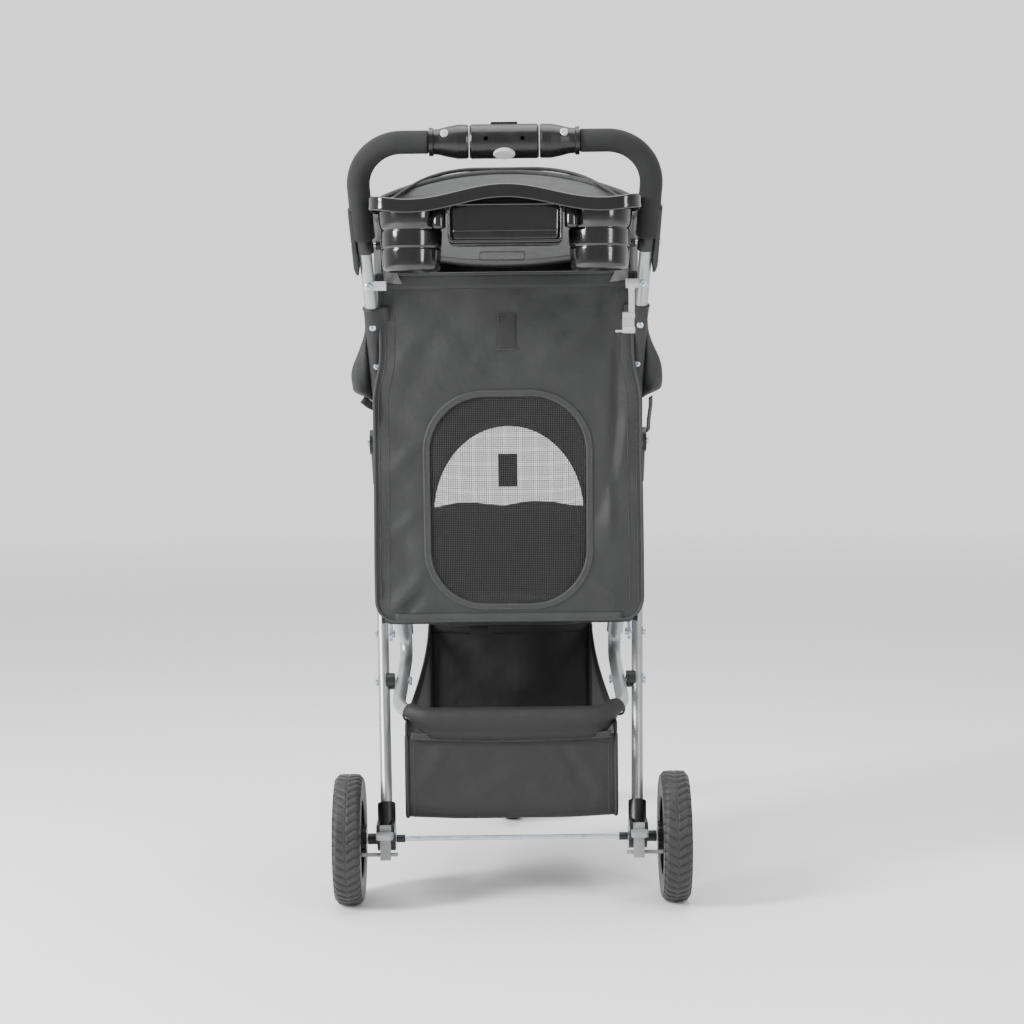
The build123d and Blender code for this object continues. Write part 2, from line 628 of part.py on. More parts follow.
def cabin_side(side):
    """Side wall: ruled through the levels, cut off under the hood's lower edge."""
    sections = []
    for z, *outer in CABIN_LEVELS:
        inner = [(x - CLOTH, y) for x, y in reversed(outer)]
        points = [(side * x, y, z) for x, y in outer + inner]
        sections.append(make_face(Polyline(*points, close=True)))
    wall = loft(sections, ruled=True)
    y, z = HOOD_PIVOT
    slope = radians(HOOD_LOW_ANGLE)
    cutter = Plane(origin=(0, y, z - 5), x_dir=(1, 0, 0), z_dir=(0, -sin(slope), cos(slope)))
    return wall - cutter * Pos(0, 0, 300) * Box(600, 2000, 600)


def panel_plane():
    """Plane of the cabin's rear panel, leaning back, facing the rear."""
    along = Vector(0, PANEL_TOP[0] - PANEL_LOW[0], PANEL_TOP[1] - PANEL_LOW[1])
    return Plane(origin=(0, PANEL_LOW[0], PANEL_LOW[1]), x_dir=(1, 0, 0), z_dir=Vector(1, 0, 0).cross(along))


def panel_outline():
    """Rear panel: wide below, stepped in between the handle tubes above."""
    right = [(140, 0), (162, 14), (166, 40), (166, 296), (154, 336), (153, 445)]
    left = [(-x, y) for x, y in reversed(right)]
    return make_face(Polyline(*right, *left, close=True))


def window_outline(grow):
    """Rounded mesh window in the rear panel."""
    return Pos(0, WINDOW_MID) * RectangleRounded(196 + 2 * grow, 262 + 2 * grow, 70 + grow)


def cabin_rear_panel():
    face = panel_outline() - window_outline(0)
    return extrude(panel_plane() * face, amount=CLOTH)


def rear_window_mesh():
    sheet = extrude(window_outline(0), amount=1.2)
    return panel_plane() * (Pos(0, 0, 0.9) * sheet)


def dome_section(angle, reach, roundness, taper):
    """Closed strip in a plane through the hood pivots: a superellipse and its inner offset."""
    y, z = HOOD_PIVOT
    lean = radians(angle)
    power = 2 / roundness
    points = []
    for inset, order in ((0, range(0, 17)), (CLOTH, range(16, -1, -1))):
        for step in order:
            turn = pi * step / 16
            ahead = sin(turn) ** power
            across = 0 if step == 8 else abs(cos(turn)) ** power
            x = (HOOD_HALF - taper * ahead - inset) * across * (1 if step < 8 else -1)
            out = HOOD_START + (reach - inset - HOOD_START) * ahead
            points.append((x, y + out * cos(lean), z + out * sin(lean)))
    return make_face(Polyline(*points, close=True))


def dome(stations):
    """Shell through several dome sections."""
    return loft([dome_section(*station) for station in stations], ruled=True)


def rear_flap():
    """Cloth between the rear bow and its hem, over the cabin's rear opening."""
    place = Plane(origin=(0, *FLAP_HEM), x_dir=(1, 0, 0), z_dir=(0, FLAP_UP[1], -FLAP_UP[0]))
    half = Ellipse(132, 138) & Pos(0, -100) * Rectangle(400, 200)
    return place * extrude(half, amount=2)


def cabin_floor():
    """Padded floor board, narrower at its front corners."""
    right = [(116, 42), (116, 330), (94, 402)]
    left = [(-x, y) for x, y in reversed(right)]
    outline = make_face(Polyline(*right, *left, close=True))
    return Pos(0, 0, FLOOR_Z) * extrude(outline, amount=12)


def front_wall():
    face = make_face(Polyline((-101, 352), (101, 352), (102, 472), (-102, 472), close=True))
    place = Plane(origin=(0, 416, 0), x_dir=(1, 0, 0), z_dir=(0, -1, 0))
    return extrude(place * face, amount=CLOTH)


def basket():
    """Open-topped basket: rear, front, sides and bottom, hung from the hoop."""
    z_rear, z_front = 228.0, 326.0
    outer = basket_block(0, z_rear, z_front)
    inner = basket_block(CLOTH, z_rear + 90, z_front + 90)
    return outer - Pos(0, 0, CLOTH) * inner


def basket_block(shrink, z_rear, z_front):
    """Wedge-shaped solid with the basket's outline, narrower in front."""
    faces = []
    for y, half, top in ((5 + shrink, BASKET_REAR_HALF, z_rear),
                         (BASKET_FRONT_Y - shrink, BASKET_FRONT_HALF, z_front)):
        w = half - shrink
        corners = [(-w, y, BASKET_Z), (w, y, BASKET_Z), (w, y, top), (-w, y, top)]
        faces.append(make_face(Polyline(*corners, close=True)))
    return loft(faces, ruled=True)


def cloth_nodes():
    for name, side in SIDES.items():
        save(f"cabin_side_{name}", cabin_side(side))
    save("cabin_rear_panel", cabin_rear_panel())
    save("rear_window_mesh", rear_window_mesh())
    save("cabin_front_wall", front_wall())
    save("cabin_floor", cabin_floor())
    save("hood_cover", dome(HOOD_STATIONS))
    save("front_screen", dome(SCREEN_STATIONS))
    save("rear_flap", rear_flap())
    save("basket", basket())


def main():
    os.makedirs("parts", exist_ok=True)
    rear_frame_nodes()
    save("brake_hinge_pins", *brake_hinge_pins())
    handle_nodes()
    for name, side in SIDES.items():
        save(f"front_leg_{name}", front_leg(side))
    save("front_leg_eyes", *[front_leg_eye(side) for side in SIDES.values()])
    save("caster_housing", caster_housing())
    save("front_fork", front_fork())
    wheel_nodes()
    cloth_nodes()


main()
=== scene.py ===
import json
from math import atan2, cos, exp, hypot, pi, radians, sin, sqrt

import bpy
from mathutils import Matrix, Vector, noise


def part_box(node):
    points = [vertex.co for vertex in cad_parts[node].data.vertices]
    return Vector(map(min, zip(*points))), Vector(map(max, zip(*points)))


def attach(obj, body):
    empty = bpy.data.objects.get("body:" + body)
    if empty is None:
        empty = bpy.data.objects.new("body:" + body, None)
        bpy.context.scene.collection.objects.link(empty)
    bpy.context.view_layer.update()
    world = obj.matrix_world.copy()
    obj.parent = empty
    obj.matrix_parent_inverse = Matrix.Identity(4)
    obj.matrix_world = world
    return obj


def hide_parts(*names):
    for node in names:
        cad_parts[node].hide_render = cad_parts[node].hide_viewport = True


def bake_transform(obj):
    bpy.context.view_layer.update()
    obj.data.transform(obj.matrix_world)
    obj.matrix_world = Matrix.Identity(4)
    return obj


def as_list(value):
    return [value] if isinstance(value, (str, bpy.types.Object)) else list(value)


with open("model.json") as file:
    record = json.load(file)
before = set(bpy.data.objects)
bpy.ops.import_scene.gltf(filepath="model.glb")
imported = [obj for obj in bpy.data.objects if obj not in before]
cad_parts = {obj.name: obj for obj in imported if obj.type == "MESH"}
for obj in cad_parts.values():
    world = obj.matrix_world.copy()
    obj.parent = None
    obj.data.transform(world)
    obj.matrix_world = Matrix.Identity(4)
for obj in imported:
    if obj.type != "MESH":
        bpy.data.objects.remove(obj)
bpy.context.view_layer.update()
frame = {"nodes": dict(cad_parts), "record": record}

# Lengths below are in metres. Points given to at() are millimetres from the rear axle's
# middle on the ground: X right, Y forward, Z up, as the pieces were laid out.
AXLE_Y = (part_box("rear_axle")[0][1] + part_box("rear_axle")[1][1]) / 2
SIDES = {"left": -1, "right": 1}
CLOTH = 0.0012          # thickness of the cabin's and the basket's cloth


def at(x, y, z):
    return Vector((x / 1000, AXLE_Y + y / 1000, z / 1000))


def hand(side):
    return "left" if side < 0 else "right"


# ------------------------------------------------------------------ view and light

CAMERA_BACK = 2.87      # from the rear axle
CAMERA_HEIGHT = 0.666
CAMERA_PITCH = 3.37
CAMERA_ROLL = -0.65
CAMERA_ASIDE = 0.0043
CAMERA_LENS = 80.1


def add_camera():
    data = bpy.data.cameras.new("camera")
    data.lens = CAMERA_LENS
    data.sensor_width = 36
    data.clip_end = 50
    camera = bpy.data.objects.new("camera", data)
    bpy.context.collection.objects.link(camera)
    tilt = Matrix.Rotation(radians(90 - CAMERA_PITCH), 4, "X") @ Matrix.Rotation(radians(CAMERA_ROLL), 4, "Z")
    camera.matrix_world = Matrix.Translation((CAMERA_ASIDE, AXLE_Y - CAMERA_BACK, CAMERA_HEIGHT)) @ tilt
    bpy.context.scene.camera = camera


def add_area(name, place, aim, width, height, power):
    data = bpy.data.lights.new(name, "AREA")
    data.shape = "RECTANGLE"
    data.size = width
    data.size_y = height
    data.energy = power
    light = bpy.data.objects.new(name, data)
    bpy.context.collection.objects.link(light)
    light.location = place
    light.rotation_euler = (Vector(aim) - Vector(place)).to_track_quat("-Z", "Y").to_euler()


def add_sky():
    """Pale studio: white behind the stroller, greyer towards the side with the soft boxes."""
    world = bpy.data.worlds.new("studio")
    world.use_nodes = True
    tree = world.node_tree
    place = tree.nodes.new("ShaderNodeTexCoord")
    split = tree.nodes.new("ShaderNodeSeparateXYZ")
    tree.links.new(place.outputs["Generated"], split.inputs[0])
    turn = tree.nodes.new("ShaderNodeMapRange")
    turn.interpolation_type = "SMOOTHSTEP"
    for name, value in (("From Min", -0.5), ("From Max", 0.75), ("To Min", 0.42), ("To Max", 1.4)):
        turn.inputs[name].default_value = value
    tree.links.new(split.outputs["Y"], turn.inputs["Value"])
    back = tree.nodes["Background"]
    back.inputs["Color"].default_value = (1, 1, 1, 1)
    tree.links.new(turn.outputs["Result"], back.inputs["Strength"])
    bpy.context.scene.world = world


def add_studio():
    add_sky()
    add_area("key", (-2.7, -1.7, 1.9), (0, 0, 0.6), 0.7, 1.8, 190)
    add_area("fill", (1.9, -2.4, 1.3), (0, 0, 0.6), 0.5, 1.8, 38)
    add_area("top", (0.0, -0.3, 2.9), (0, 0, 0.3), 2.0, 2.0, 62)
    floor = bpy.data.meshes.new("floor")
    floor.from_pydata([(-12, -12, 0), (12, -12, 0), (12, 12, 0), (-12, 12, 0)], [], [(0, 1, 2, 3)])
    plane = bpy.data.objects.new("floor", floor)
    bpy.context.collection.objects.link(plane)
    plane.data.materials.append(floor_finish())


# ----------------------------------------------------------------------- materials

class Shader:
    """A material under construction: a Principled shader and short ways to add nodes to it."""

    def __init__(self, name, colour, roughness, metallic=0.0):
        self.material = bpy.data.materials.new(name)
        self.material.use_nodes = True
        self.tree = self.material.node_tree
        self.bsdf = self.tree.nodes["Principled BSDF"]
        self.bsdf.inputs["Base Color"].default_value = (*colour, 1)
        self.bsdf.inputs["Roughness"].default_value = roughness
        self.bsdf.inputs["Metallic"].default_value = metallic
        coordinates = self.tree.nodes.new("ShaderNodeTexCoord")
        self.place = coordinates.outputs["Object"]
        self.normal = coordinates.outputs["Normal"]

    def set(self, **values):
        for name, value in values.items():
            self.bsdf.inputs[name.replace("_", " ")].default_value = value

    def node(self, kind, inputs=(), **settings):
        made = self.tree.nodes.new(kind)
        for key, value in settings.items():
            setattr(made, key, value)
        for key, value in dict(inputs).items():
            socket = made.inputs[key]
            if hasattr(value, "is_linked"):
                self.tree.links.new(value, socket)
            else:
                socket.default_value = value
        return made

    def link(self, output, name):
        self.tree.links.new(output, self.bsdf.inputs[name])

    def maths(self, operation, a, b=0.0):
        return self.node("ShaderNodeMath", {0: a, 1: b}, operation=operation).outputs[0]

    def noise(self, scale, detail=4.0):
        made = self.node("ShaderNodeTexNoise", {"Vector": self.place, "Scale": scale, "Detail": detail})
        return made.outputs["Fac"]

    def waves(self, axis, pitch):
        """Smooth ridges, one per pitch, along an axis."""
        made = self.node(
            "ShaderNodeTexWave",
            {"Vector": self.place, "Scale": pi / (10 * pitch)},
            wave_type="BANDS",
            bands_direction=axis,
        )
        return made.outputs["Fac"]

    def either(self, factor, low, high):
        made = self.node("ShaderNodeMix", {0: factor, 2: low, 3: high}, data_type="FLOAT")
        return made.outputs[0]

    def mixed(self, factor, low, high):
        made = self.node("ShaderNodeMix", data_type="RGBA")
        self.tree.links.new(factor, made.inputs[0])
        made.inputs[6].default_value = (*low, 1)
        made.inputs[7].default_value = (*high, 1)
        return made.outputs[2]

    def ramp(self, factor, low, high, to_low=0.0, to_high=1.0):
        made = self.node("ShaderNodeMapRange", {0: factor, 1: low, 2: high, 3: to_low, 4: to_high})
        return made.outputs[0]

    def bump(self, *layers):
        """Chain of bumps; each layer is (height output, strength, distance in metres)."""
        normal = None
        for height, strength, distance in layers:
            made = self.node("ShaderNodeBump", {"Height": height, "Strength": strength, "Distance": distance})
            if normal is not None:
                self.tree.links.new(normal, made.inputs["Normal"])
            normal = made.outputs["Normal"]
        self.link(normal, "Normal")


def floor_finish():
    shader = Shader("floor_paper", (0.95, 0.95, 0.95), 0.9)
    shader.link(shader.mixed(shader.noise(3.0), (0.94, 0.94, 0.94), (0.97, 0.97, 0.97)), "Base Color")
    away = shader.node("ShaderNodeVectorMath", {0: shader.place}, operation="LENGTH").outputs["Value"]
    shader.link(shader.ramp(away, 1.6, 7.0, 1.0, 0.0), "Alpha")     # fades into the sky, with no horizon
    return shader.material


def woven(name, colour, light, pitch=0.0007, sheen=0.03, roughness=0.66):
    """Plain-weave polyester: two crossed sets of yarn, blotchy shade and a soft sheen."""
    shader = Shader(name, colour, roughness)
    facing = shader.node("ShaderNodeSeparateXYZ", {0: shader.normal})
    to_side = shader.maths("GREATER_THAN", shader.maths("ABSOLUTE", facing.outputs["X"]), 0.7)
    to_sky = shader.maths("GREATER_THAN", shader.maths("ABSOLUTE", facing.outputs["Z"]), 0.7)
    length = shader.waves("Y", pitch)
    warp = shader.either(to_side, shader.waves("X", pitch), length)
    weft = shader.either(to_sky, shader.waves("Z", pitch), length)
    weave = shader.maths("MULTIPLY", warp, weft)
    blotch = shader.noise(14.0, 5.0)
    fine = shader.noise(900.0, 2.0)
    shade = shader.maths("ADD", shader.maths("MULTIPLY", blotch, 0.6), shader.maths("MULTIPLY", fine, 0.25))
    shade = shader.maths("ADD", shade, shader.maths("MULTIPLY", weave, 0.3))
    shader.link(shader.mixed(shader.ramp(shade, 0.25, 0.85), colour, light), "Base Color")
    shader.link(shader.ramp(blotch, 0.3, 0.7, roughness - 0.06, roughness + 0.06), "Roughness")
    shader.set(Sheen_Weight=sheen, Sheen_Roughness=0.4, Specular_IOR_Level=0.5)
    shader.bump(
        (shader.noise(17.0, 3.0), 0.42, 0.012),
        (shader.noise(60.0, 6.0), 0.16, 0.002),
        (weave, 0.35, 0.0004),
    )
    return shader.material


def moulded(name, colour, light, roughness, grain=500.0, depth=0.12, coat=0.0):
    """Moulded plastic: fine grain, faint shade changes and handling marks."""
    shader = Shader(name, colour, roughness)
    shade = shader.noise(9.0, 5.0)
    shader.link(shader.mixed(shade, colour, light), "Base Color")
    marks = shader.noise(45.0, 8.0)
    shader.link(shader.ramp(marks, 0.35, 0.75, roughness - 0.05, roughness + 0.09), "Roughness")
    shader.set(Coat_Weight=coat, Coat_Roughness=0.08)
    shader.bump((shader.noise(grain, 3.0), depth, 0.0003))
    return shader.material


def painted(name, colour, light):
    """Metallic silver paint: flake, orange peel and faint scuffs."""
    shader = Shader(name, colour, 0.34, 0.55)
    flake = shader.noise(2600.0, 1.0)
    scuff = shader.noise(30.0, 6.0)
    shade = shader.maths("ADD", shader.maths("MULTIPLY", flake, 0.5), shader.maths("MULTIPLY", scuff, 0.5))
    shader.link(shader.mixed(shader.ramp(shade, 0.2, 0.8), colour, light), "Base Color")
    shader.link(shader.ramp(scuff, 0.3, 0.75, 0.31, 0.40), "Roughness")
    shader.set(Coat_Weight=0.35, Coat_Roughness=0.12)
    shader.bump((shader.noise(160.0, 2.0), 0.05, 0.0005))
    return shader.material


def plated(name, colour, light):
    """Zinc plate: bluish, cloudy and lightly scratched."""
    shader = Shader(name, colour, 0.32, 0.95)
    cloud = shader.noise(120.0, 6.0)
    shader.link(shader.mixed(cloud, colour, light), "Base Color")
    shader.link(shader.ramp(cloud, 0.3, 0.7, 0.25, 0.42), "Roughness")
    shader.bump((shader.noise(700.0, 4.0), 0.08, 0.0002))
    return shader.material


def foam_finish(name, colour, light, cells, roughness=0.95):
    """Closed-cell foam: small pits and an uneven dull skin."""
    shader = Shader(name, colour, roughness)
    pits = shader.node("ShaderNodeTexVoronoi", {"Vector": shader.place, "Scale": cells}).outputs["Distance"]
    shade = shader.noise(25.0, 6.0)
    shader.link(shader.mixed(shade, colour, light), "Base Color")
    shader.set(Sheen_Weight=0.05, Sheen_Roughness=0.5, Specular_IOR_Level=0.25)
    shader.bump((pits, 0.35, 0.0006), (shade, 0.1, 0.001))
    return shader.material


def thread_finish(name, colour, light):
    """Twisted sewing thread or netting yarn."""
    shader = Shader(name, colour, 0.7)
    twist = shader.noise(1500.0, 2.0)
    shader.link(shader.mixed(twist, colour, light), "Base Color")
    shader.set(Sheen_Weight=0.15)
    shader.bump((twist, 0.2, 0.0001))
    return shader.material


BLACK = (0.006, 0.006, 0.0065)


def make_finishes():
    return {
        "cloth": woven("cabin_cloth", (0.009, 0.0093, 0.0098), (0.021, 0.0217, 0.0227), roughness=0.56),
        "cloth_dark": woven("lining_cloth", BLACK, (0.014, 0.014, 0.015), sheen=0.02, roughness=0.6),
        "grey_cloth": woven("grey_satin", (0.10, 0.10, 0.104), (0.16, 0.16, 0.165), 0.0005, 0.3, 0.45),
        "binding": woven("binding_tape", (0.017, 0.0175, 0.018), (0.034, 0.035, 0.036), 0.0009, 0.05, 0.6),
        "grey_flap": woven("flap_cloth", (0.030, 0.031, 0.032), (0.062, 0.063, 0.066), 0.0006, 0.12, 0.5),
        "webbing": woven("webbing", (0.010, 0.010, 0.011), (0.022, 0.022, 0.024), 0.0012, 0.04, 0.6),
        "hook_tape": foam_finish("hook_tape", (0.022, 0.022, 0.023), (0.04, 0.04, 0.042), 1100.0),
        "netting": thread_finish("netting", (0.05, 0.051, 0.052), (0.09, 0.09, 0.092)),
        "grey_netting": thread_finish("grey_netting", (0.10, 0.10, 0.102), (0.17, 0.17, 0.172)),
        "basket_netting": thread_finish("basket_netting", (0.045, 0.046, 0.047), (0.09, 0.09, 0.092)),
        "thread": thread_finish("thread", (0.03, 0.03, 0.032), (0.07, 0.07, 0.072)),
        "tube": painted("silver_tube", (0.33, 0.345, 0.35), (0.41, 0.42, 0.425)),
        "zinc": plated("zinc", (0.45, 0.50, 0.58), (0.72, 0.76, 0.82)),
        "black": moulded("black_plastic", BLACK, (0.012, 0.012, 0.013), 0.40),
        "satin_black": moulded("satin_black", BLACK, (0.011, 0.011, 0.012), 0.30, 900.0, 0.02),
        "tray": moulded("tray_plastic", BLACK, (0.011, 0.011, 0.012), 0.16, 250.0, 0.008, 0.5),
        "pale": moulded("pale_plastic", (0.44, 0.45, 0.44), (0.53, 0.54, 0.53), 0.4, 400.0, 0.06),
        "grey": moulded("grey_plastic", (0.20, 0.205, 0.21), (0.28, 0.285, 0.29), 0.45),
        "foam": foam_finish("grip_foam", (0.019, 0.019, 0.0195), (0.034, 0.0345, 0.035), 900.0),
        "tyre": foam_finish("tyre_foam", (0.022, 0.022, 0.0225), (0.046, 0.046, 0.047), 650.0, 0.45),
    }


SLOT_FINISH = {
    "painted_tube": "tube", "zinc_steel": "zinc", "black_plastic": "black", "gloss_tray": "tray",
    "pale_plastic": "pale", "grey_plastic": "grey", "foam": "foam", "tyre_foam": "tyre",
    "cabin_cloth": "cloth", "mesh_cloth": "netting", "board": "cloth_dark",
}
NODE_FINISH = {
    "hub_barrel": "satin_black", "hub_cone_left": "satin_black", "hub_cone_right": "satin_black",
    "hood_rear_bow": "webbing", "hood_front_bow": "webbing", "tube_ferrules": "tube",
}


def finish_cad_nodes():
    for part in frame["record"]["subparts"]:
        node = frame["nodes"][part["node"]]
        key = NODE_FINISH.get(part["node"], SLOT_FINISH[part["material_slot"]])
        node.data.materials.clear()
        node.data.materials.append(FINISH[key])


# --------------------------------------------------------------------- mesh making

def piece(name, points, faces, finish, smooth=True):
    data = bpy.data.meshes.new(name)
    data.from_pydata([tuple(p) for p in points], [], faces)
    data.validate()
    data.polygons.foreach_set("use_smooth", [smooth] * len(data.polygons))
    data.materials.append(FINISH[finish])
    made = bpy.data.objects.new(name, data)
    bpy.context.collection.objects.link(made)
    return made


def modifier(obj, kind, **settings):
    made = obj.modifiers.new(kind.lower(), kind)
    for key, value in settings.items():
        setattr(made, key, value)
    return made


def thicken(obj, thickness, offset=0.0):
    modifier(obj, "SOLIDIFY", thickness=thickness, offset=offset, use_even_offset=False)
    return obj


def grid_faces(rows, cols, closed=False, first=0):
    """Quads of a grid of points stored row by row; closed joins the last column to the first."""
    last = cols if closed else cols - 1
    faces = []
    for i in range(rows - 1):
        for j in range(last):
            k = (j + 1) % cols
            faces.append((first + i * cols + j, first + i * cols + k,
                          first + (i + 1) * cols + k, first + (i + 1) * cols + j))
    return faces


def wrapped_faces(rows, cols):
    """Quads of rings of points, closed round each ring and from the last ring back to the first."""
    last = (rows - 1) * cols
    seam = [(last + j, last + (j + 1) % cols, (j + 1) % cols, j) for j in range(cols)]
    return grid_faces(rows, cols, True) + seam


def capped_faces(rows, cols):
    """Quads of a tube made of rings of points, with a flat cap on each end."""
    caps = [tuple(reversed(range(cols))), tuple(range((rows - 1) * cols, rows * cols))]
    return grid_faces(rows, cols, True) + caps


def surface(name, shape, rows, cols, finish, thickness=0.0, closed=False):
    """Sheet from a function of (down, across), each 0 to 1."""
    span = cols if closed else cols - 1
    points = [shape(i / (rows - 1), j / span) for i in range(rows) for j in range(cols)]
    made = piece(name, points, grid_faces(rows, cols, closed), finish)
    return thicken(made, thickness) if thickness else made


def resample(points, step, closed=False):
    """Points at equal distances along a polyline."""
    path = list(points) + ([points[0]] if closed else [])
    marks = [0.0]
    for a, b in zip(path, path[1:]):
        marks.append(marks[-1] + (b - a).length)
    count = max(2, round(marks[-1] / step))
    total = count if closed else count + 1
    found, k = [], 0
    for i in range(total):
        goal = marks[-1] * i / count
        while k < len(path) - 2 and marks[k + 1] < goal:
            k += 1
        gap = marks[k + 1] - marks[k]
        found.append(path[k].lerp(path[k + 1], (goal - marks[k]) / gap if gap else 0.0))
    return found


def tangents(path, closed):
    count = len(path)
    found = []
    for i in range(count):
        a = path[(i - 1) % count] if closed or i > 0 else path[0]
        b = path[(i + 1) % count] if closed or i < count - 1 else path[-1]
        found.append((b - a).normalized())
    return found


def swept(path, section, ups, closed=False, taper=None):
    """Points and faces of a closed section carried along a path.
    section holds (aside, up) offsets; ups is one direction, or one for each path point."""
    points = []
    along = tangents(path, closed)
    for i, (place, forward) in enumerate(zip(path, along)):
        up = ups if isinstance(ups, Vector) else ups[i]
        aside = forward.cross(up).normalized()
        true_up = aside.cross(forward).normalized()
        grow = taper(i / max(1, len(path) - 1)) if taper else 1.0
        points += [place + aside * a * grow + true_up * b * grow for a, b in section]
    size = len(section)
    rows = len(path) + (1 if closed else 0)
    faces = []
    for i in range(rows - 1):
        for j in range(size):
            k = (j + 1) % size
            here, there = i * size, ((i + 1) % len(path)) * size
            faces.append((here + j, here + k, there + k, there + j))
    if not closed:
        faces.append(tuple(reversed(range(size))))
        faces.append(tuple(range(len(points) - size, len(points))))
    return points, faces


def round_section(radius, sides=10, flat=1.0):
    return [(radius * cos(2 * pi * k / sides), flat * radius * sin(2 * pi * k / sides)) for k in range(sides)]


def tape_section(width, thick):
    """Flat strip with softly rounded edges."""
    w, t = width / 2, thick / 2
    return [(-w, 0), (-w * 0.93, -t), (-w * 0.4, -t * 1.1), (w * 0.4, -t * 1.1), (w * 0.93, -t), (w, 0),
            (w * 0.93, t), (w * 0.4, t * 1.15), (-w * 0.4, t * 1.15), (-w * 0.93, t)]


def strip(name, path, ups, width, thick, finish, closed=False):
    return piece(name, *swept(path, tape_section(width, thick), ups, closed), finish)


def cord_piece(name, path, radius, finish, closed=False, sides=10, flat=1.0):
    up = Vector((0.031, 0.117, 0.993)).normalized()
    return piece(name, *swept(path, round_section(radius, sides, flat), up, closed), finish)


def stitches(name, paths, ups, finish="thread", pitch=0.0036, length=0.0026, radius=0.00038):
    """Rows of raised thread loops: one short capsule per stitch."""
    loops = []
    section = round_section(radius, 5)
    for path in paths:
        for a, b in zip(*[resample(path, pitch)[k:] for k in (0, 1)]):
            middle, half = (a + b) / 2, (b - a).normalized() * length / 2
            up = ups(middle) if callable(ups) else ups
            low = middle - half
            run = [low - up * radius, low + half * 0.5 + up * radius * 0.7,
                   middle + half * 0.5 + up * radius * 0.7, middle + half - up * radius]
            loops.append(swept(run, section, up))
    return joined(name, loops, finish)


def joined(name, parts, finish):
    """One piece from several (points, faces) pairs."""
    points, faces = [], []
    for more, rings in parts:
        faces += [tuple(len(points) + v for v in face) for face in rings]
        points += more
    return piece(name, points, faces, finish)


def rounded_outline(half_w, half_h, radius, count):
    """Points round a rounded rectangle centred on the origin, a quarter of them in each corner."""
    corners = ((1, 1), (-1, 1), (-1, -1), (1, -1))
    turns, steps = count // 8, count // 4 - count // 8
    points = []
    for corner, (sx, sy) in enumerate(corners):
        for k in range(turns + 1):
            turn = pi / 2 * (corner + k / turns)
            x = sx * (half_w - radius) + radius * cos(turn)
            points.append((x, sy * (half_h - radius) + radius * sin(turn)))
        nx, ny = corners[(corner + 1) % 4]
        turn = pi / 2 * (corner + 1)
        goal = (nx * (half_w - radius) + radius * cos(turn), ny * (half_h - radius) + radius * sin(turn))
        x, y = points[-1]
        points += [(x + (goal[0] - x) * k / steps, y + (goal[1] - y) * k / steps) for k in range(1, steps)]
    return points


def bell(x, width):
    return exp(-(x / width) ** 2)


def smooth_step(x, low, high):
    t = min(1.0, max(0.0, (x - low) / (high - low)))
    return t * t * (3 - 2 * t)


def ruffle(x, y, z, scale, seed=0.0):
    """Smooth repeatable unevenness between about -1 and 1."""
    return noise.noise(Vector((x / scale + seed, y / scale + 7.3, z / scale - 2.1)))


# ------------------------------------------------------------------------ rear panel

PANEL_LOW = (28.0, 352.0)           # Y, Z of the panel's bottom edge
PANEL_TOP = (-23.3, 796.0)
PANEL_RUN = (PANEL_TOP[0] - PANEL_LOW[0], PANEL_TOP[1] - PANEL_LOW[1])
PANEL_LENGTH = hypot(*PANEL_RUN)
PANEL_UP = Vector((0, PANEL_RUN[0] / PANEL_LENGTH, PANEL_RUN[1] / PANEL_LENGTH))
PANEL_OUT = Vector((0, -PANEL_UP.z, PANEL_UP.y))        # out of the panel, to the rear
WINDOW_HALF = (99.0, 133.0)
WINDOW_V = 160.0
WINDOW_CORNER = 70.0


def panel_half(v):
    """Half-width of the rear panel, v millimetres up it."""
    waist = smooth_step(v, 285, 350) * (1 - smooth_step(v, 425, 440))
    return 170.0 - 2.5 * smooth_step(v, 20, 250) - 10.0 * waist - 5.5 * smooth_step(v, 425, 440)


def crease(u, v, u0, v0, u1, v1, width):
    """1 on the line between two points of the panel, fading over width and towards its ends."""
    du, dv = u1 - u0, v1 - v0
    run = hypot(du, dv)
    along = ((u - u0) * du + (v - v0) * dv) / run
    aside = ((u - u0) * dv - (v - v0) * du) / run
    ends = smooth_step(along, -width, run * 0.25) * (1 - smooth_step(along, run * 0.7, run + width))
    return bell(aside, width) * ends


def panel_relief(u, v):
    """How far the panel's cloth stands out of its plane, in millimetres."""
    beside, above = max(0.0, abs(u) - WINDOW_HALF[0]), max(0.0, abs(v - WINDOW_V) - WINDOW_HALF[1])
    free = min(1.0, hypot(beside / 30, above / 30))
    relief = 4.6 * ruffle(u, v, 0, 95.0) + 2.6 * ruffle(u, v, 0, 38.0, 4.0)
    relief += 4.5 * crease(u, v, 118, 95, 152, 270, 9) - 4.0 * crease(u, v, 134, 120, 140, 420, 8)
    relief += 3.5 * crease(u, v, -150, 20, -98, 75, 8) - 2.6 * crease(u, v, -138, 10, -92, 55, 7)
    relief += 3.0 * crease(u, v, 150, 25, 95, 60, 7) + 2.6 * crease(u, v, -140, 330, -85, 395, 11)
    relief += 2.2 * crease(u, v, 30, 330, 120, 400, 12) - 2.0 * crease(u, v, -60, 330, 10, 410, 10)
    relief += 1.8 * crease(u, v, -150, 200, -105, 235, 8) + 1.8 * crease(u, v, -148, 120, -104, 150, 8)
    hems = smooth_step(v, -2, 24) * (1 - smooth_step(v, PANEL_LENGTH - 26, PANEL_LENGTH - 12))
    return 1.35 * relief * free * hems


def on_panel(u, v, lift=0.0):
    base = at(u, PANEL_LOW[0], PANEL_LOW[1])
    return base + PANEL_UP * (v / 1000) + PANEL_OUT * ((panel_relief(u, v) + lift) / 1000)


